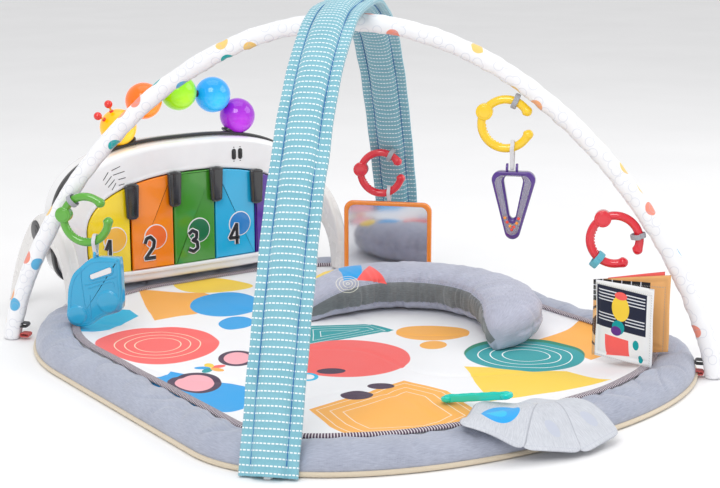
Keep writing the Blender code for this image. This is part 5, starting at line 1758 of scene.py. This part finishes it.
def keyboard():
    """Five bar keys and the four dark keys between them, which widen upwards and have rounded ends."""
    for number, (tint_name, tint) in enumerate(KEY_TINTS, 1):
        key(number, tint_name, tint)
    for k in range(1, 5):
        x = KEYS_LEFT + KEY_PITCH * k
        top = float(bay_limit(x, True, 0.0)) + 0.004
        low = top - 0.054
        rows, columns = 44, 40
        z = np.linspace(0, 1, rows)[:, None]
        end = np.clip(np.minimum(z, 1 - z) / 0.10, 0.0, 1)
        grow = np.sqrt(1 - (1 - end) ** 2) * 0.97 + 0.03
        half = (0.0092 + (0.0115 - 0.0092) * z) * grow
        turn = np.arange(columns)[None] * 2 * math.pi / columns
        c, s = np.cos(turn), np.sin(turn)
        px = signed_power(c, 0.6) * half
        py = signed_power(s, 0.6) * 0.0041 * (0.25 + 0.75 * grow)
        points = np.stack([x + PIANO_X + px, 0.3616 + py, low + (top - low) * z + 0 * px], axis=-1)
        piece(f"sharp_{k}", surface(points, wrap_columns=True, caps=True), "piano_body", GLOSS_BLACK,
              (f"black_key_{k}",))


def piano_details():
    """Speaker strokes, switches with their ticks and the bay's lower bumper."""
    strokes = []
    # Painted shade: the speaker strokes are dark raised lines where the grille's slots are, standing for the
    # shade inside them.
    for start, end in (((-0.1587, 0.2096), (-0.1450, 0.2145)), ((-0.1564, 0.2028), (-0.1381, 0.2066)),
                       ((-0.1482, 0.1956), (-0.1368, 0.1972)), ((-0.1723, 0.1967), (-0.1641, 0.2079)),
                       ((-0.1694, 0.1901), (-0.1590, 0.2016)), ((-0.1649, 0.1858), (-0.1542, 0.1962)),
                       ((-0.1588, 0.1814), (-0.1522, 0.1911)), ((-0.1480, 0.1870), (-0.1390, 0.1885))):
        strokes.append(stroke(front_place, dense([start, end], 12), 0.3661, 0.0011, 0.0006))
    for x in (PIANO_X + 0.069, PIANO_X + 0.080):
        strokes.append(slab(box_like(x, 0.2135, 0.0036, 0.0082, 0.0034), front_place, 0.3654, 0.3662, 0.0002,
                            3))
        for z in (0.2135 - 0.0105, 0.2135 + 0.0105):
            strokes.append(slab(box_like(x, z, 0.0010, 0.0006, 0.0005), front_place, 0.3657, 0.3662, 0.0001,
                                3))
    piece("face_marks", strokes, "piano_body", SATIN_BLACK, sharp=50)
    for x, name in ((PIANO_X + 0.069, "volume_switch"), (PIANO_X + 0.080, "mode_switch")):
        grips = [slab(box_like(x, 0.2135, 0.0024, 0.0038, 0.0016), front_place, 0.3632, 0.3660, 0.0006, 4)]
        grips += [slab(box_like(x, 0.2135 + dz, 0.0020, 0.00035, 0.0003), front_place, 0.3627, 0.3640, 0.0002,
                       3)
                  for dz in (-0.0022, -0.0008, 0.0008, 0.0022)]
        piece(f"{name}_knob", grips, name, SATIN_BLACK, (name,), sharp=50)
    lower = [bay_ring(0.0008)[k] for k in range(288) if math.radians(196) < CASE_TURN[k] < math.radians(344)]
    bumper = stroke(front_place, dense(lower, 160), 0.3650, 0.0064, 0.0056, sides=24)
    piece("bay_lip", bumper, "piano_body", GLOSS_WHITE)


BALLS = (("light_ball_1", -0.1005, 0.2642, rgb(0.95, 0.42, 0.0), rgb(1.0, 0.78, 0.06)),
         ("light_ball_2", -0.0580, 0.2995, rgb(0.95, 0.13, 0.0), rgb(1.0, 0.42, 0.03)),
         ("light_ball_3", 0.0000, 0.3075, rgb(0.20, 0.58, 0.0), rgb(0.55, 0.95, 0.05)),
         ("light_ball_4", 0.0580, 0.2995, rgb(0.0, 0.27, 0.75), rgb(0.08, 0.70, 1.0)),
         ("light_ball_5", 0.1005, 0.2642, rgb(0.25, 0.005, 0.45), rgb(0.62, 0.06, 0.85)))


BALL_RADIUS, BALL_Y = 0.0268, 0.407


def lights():
    """Round lamps on the case, the outer two in flared collars, with dark joints between neighbours; the
    first wears two stalked round feelers.
    """
    slots = ("yellow", "orange", "lime", "cyan", "purple")
    for (name, dx, z, deep, bright), tint in zip(BALLS, slots):
        centre = np.array([PIANO_X + dx, BALL_Y, z])
        lean = np.array([dx, 0.0, z - PIANO_Z])
        lean = lean / np.linalg.norm(lean)
        finish = glowing(f"{name}_glow", deep, bright, centre, BALL_RADIUS,
                         -lean * 0.5 + np.array([0.0, -0.9, 0.0]))
        piece(f"{name}_shell", ball(centre, BALL_RADIUS, 48, 64), "piano_body", finish,
              (name,))
        if name in ("light_ball_1", "light_ball_5"):
            foot = centre - lean * 0.0262
            collar = [disc(foot, lean, 0.0095, 0.0050, 0.0018),
                      disc(foot - lean * 0.0022, lean, 0.0120, 0.0030, 0.0012)]
            piece(f"{name}_collar", collar, "piano_body", SATIN_BLACK)
    places_along = [np.array([PIANO_X + ball_x, BALL_Y, z]) for _, ball_x, z, _, _ in BALLS]
    joints = [disc((a + b) / 2, b - a, 0.0052, 0.0060, 0.0012, 30) for a,
              b in zip(places_along, places_along[1:])]
    piece("ball_joints", joints, "piano_body", SATIN_BLACK)
    centre = np.array([PIANO_X + BALLS[0][1], BALL_Y, BALLS[0][2]])
    stalks, heads = [], []
    for lean in ((-0.86, -0.10, 0.50), (-0.42, -0.10, 0.90)):
        lean = np.array(lean) / np.linalg.norm(lean)
        path = centre + lean * np.linspace(0.0262, BALL_RADIUS + 0.0120, 20)[:, None]
        stalks.append(rod(dense(path, 24), 0.0016))
        heads.append(ball(centre + lean * (BALL_RADIUS + 0.0125), 0.0060, 20, 28))
        heads.append(disc(centre + lean * 0.0275, lean, 0.0032, 0.0030, 0.0010, 24))
    piece("feeler_stalks", stalks, "piano_body", plastic("feeler_stalk", rgb(0.9, 0.42, 0.02), 0.15, 0.7))
    piece("feeler_heads", heads, "piano_body", plastic("feeler_head", rgb(0.80, 0.02, 0.01), 0.12, 0.8))


LEG_OUTER = ((0.296, 0), (0.299, 0.045), (0.312, 0.092), (0.335, 0.130), (0.364, 0.152), (0.402, 0.152),
             (0.440, 0.132), (0.478, 0.092), (0.508, 0.046), (0.528, 0))
LEG_INNER = ((0.326, 0), (0.330, 0.035), (0.341, 0.064), (0.357, 0.084), (0.374, 0.094), (0.396, 0.094),
             (0.420, 0.083), (0.446, 0.058), (0.474, 0.028), (0.494, 0))


def open_spline(points, count):
    """Curve through points: a Catmull-Rom spline with mirrored end steps, resampled evenly."""
    points = np.asarray(points, float)
    points = np.vstack([2 * points[0] - points[1], points, 2 * points[-1] - points[-2]])
    curve = spline(points[:-3, None], points[1:-2, None], points[2:-1, None], points[3:, None],
                   np.linspace(0, 1, 20))
    return dense(curve.reshape(-1, 2), count)


def side_stands():
    """Arched side stands: a soft-edged section between an outer and an inner curve, and round hubs on the
    axle."""
    for name, side, front_z in (("stand_leg_left", -1, 0.0353), ("stand_leg_right", 1, 0.0282)):
        outer, inner = open_spline(LEG_OUTER, 160), open_spline(LEG_INNER, 160)
        for curve in (outer, inner):
            floor = np.where(curve[:, 0] < 0.40, front_z, 0.0)
            curve[:, 1] = floor + np.maximum(curve[:, 1], 0) * (1 - floor / 0.152)
        section = soft_box(0.5, 0.5, 5.0, 36)
        inside = PIANO_X + side * 0.215
        x = inside + side * 0.017 * (0.5 + section[:, 1])
        share = 0.5 + section[:, 0]
        yz = inner[:, None] + (outer - inner)[:, None] * share[None, :, None]
        points = np.stack([np.broadcast_to(x, yz.shape[:2]), yz[..., 0], np.maximum(yz[..., 1], 0.0004)],
                          axis=-1)
        parts = [surface(points, lengths(outer), np.arange(37) * 0.004, wrap_columns=True, caps=True)]
        piece(f"{name}_shell", parts, "piano_stand", LEG_WHITE, (name,))
        hub = (inside + side * 0.0165, 0.415, 0.124)
        rings = [disc(hub, (1, 0, 0), 0.0165, 0.0026, 0.0010, 56),
                 disc(hub, (1, 0, 0), 0.0105, 0.0042, 0.0010, 48),
                 disc(hub, (1, 0, 0), 0.0038, 0.0050, 0.0008, 30)]
        piece(f"{name}_hub", rings, "piano_stand", SATIN_BLACK, sharp=50)


piano_front()
piano_rear()
keyboard()
piano_details()
lights()
side_stands()

# ---------------------------------------------------------------- foot loops


def foot_trims():
    """Short dark loop and a small coral tab, sewn low on the inner side of each sleeve foot."""
    dark = webbing("foot_tape", rgb(0.07, 0.07, 0.08), rgb(0.03, 0.03, 0.035))
    coral = webbing("foot_tab", rgb(0.85, 0.16, 0.14), rgb(0.60, 0.08, 0.08))
    for k, foot in enumerate(SLEEVE_FEET):
        ways = -foot * (1, 1, 0)
        ways = ways / np.linalg.norm(ways)
        across = np.cross(ways, UP)
        base = foot * (1, 1, 0) + ways * 0.0150
        loop = webbing_loop(base + UP * 0.020, base + UP * 0.020 + ways * 0.0060, across, 0.0020, 0.0020,
                            0.0130)
        piece(f"foot_loop_{k}", loop, "arches", dark)
        tab = webbing_loop(base + UP * 0.0060, base + UP * 0.0060 + ways * 0.0080, across, 0.0016, 0.0016,
                           0.0140)
        piece(f"foot_tab_{k}", tab, "arches", coral)


foot_trims()

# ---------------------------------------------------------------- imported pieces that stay

TUBES = ("white_tube_left", "white_tube_right", "blue_tube_front", "blue_tube_back")
for node, colour in (*((tube, rgb(0.75, 0.75, 0.76)) for tube in TUBES),
                     ("circuit_board", rgb(0.02, 0.16, 0.06)),
                     ("speaker", rgb(0.03, 0.03, 0.035))):
    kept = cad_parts[node]
    finish = plastic(f"{node}_finish", colour, 0.35, 0.1)
    kept.data.materials.clear()
    kept.data.materials.append(finish)

# ---------------------------------------------------------------- floor and light


def floor_material():
    """Pale paper with a slow change of shade."""
    t, shader, made, place, _ = new_material("floor_paper")
    grain = t.noise(place, 3.0, 3.0)
    t.put(shader.inputs["Base Color"], t.mix(grain, rgb(0.86, 0.86, 0.87), rgb(0.93, 0.93, 0.94)))
    settle(shader, Roughness=0.7)
    return made


def floor():
    """Seamless paper sweep, level under the object."""
    half, rows = 6.0, 41
    line = np.linspace(-half, half, rows)
    x, y = np.meshgrid(line, line, indexing="ij")
    points = np.stack([x, y, np.full_like(x, -0.0006)], axis=-1)
    base = points - (0, 0, 0.02)
    grid, faces, uv = together([surface(points), surface(base[::-1])])
    mesh = solid_mesh("floor", grid, faces, uv)
    made = bpy.data.objects.new("floor", mesh)
    bpy.context.scene.collection.objects.link(made)
    mesh.materials.append(floor_material())


def area_light(name, place, aim, size, power, colour=(1.0, 1.0, 1.0)):
    """Soft box aimed at a point."""
    made = bpy.data.objects.new(name, bpy.data.lights.new(name, "AREA"))
    bpy.context.scene.collection.objects.link(made)
    made.data.shape = "RECTANGLE"
    made.data.size, made.data.size_y = size
    made.data.energy = power
    made.data.color = colour
    made.location = place
    made.rotation_euler = (Vector(aim) - Vector(place)).to_track_quat("-Z", "Y").to_euler()


def lighting():
    """Three soft boxes in a white room."""
    area_light("key_light", (-1.7, -1.4, 2.3), (0, 0, 0.1), (1.5, 1.5), 33)
    area_light("fill_light", (1.9, -0.9, 1.5), (0, 0, 0.15), (1.8, 1.4), 14)
    area_light("top_light", (0.2, 0.5, 2.8), (0, 0, 0), (2.4, 2.0), 12)
    world = bpy.data.worlds.new("studio")
    world.use_nodes = True
    world.node_tree.nodes["Background"].inputs["Color"].default_value = (1.0, 1.0, 1.0, 1.0)
    world.node_tree.nodes["Background"].inputs["Strength"].default_value = 0.78
    bpy.context.scene.world = world


floor()
lighting()
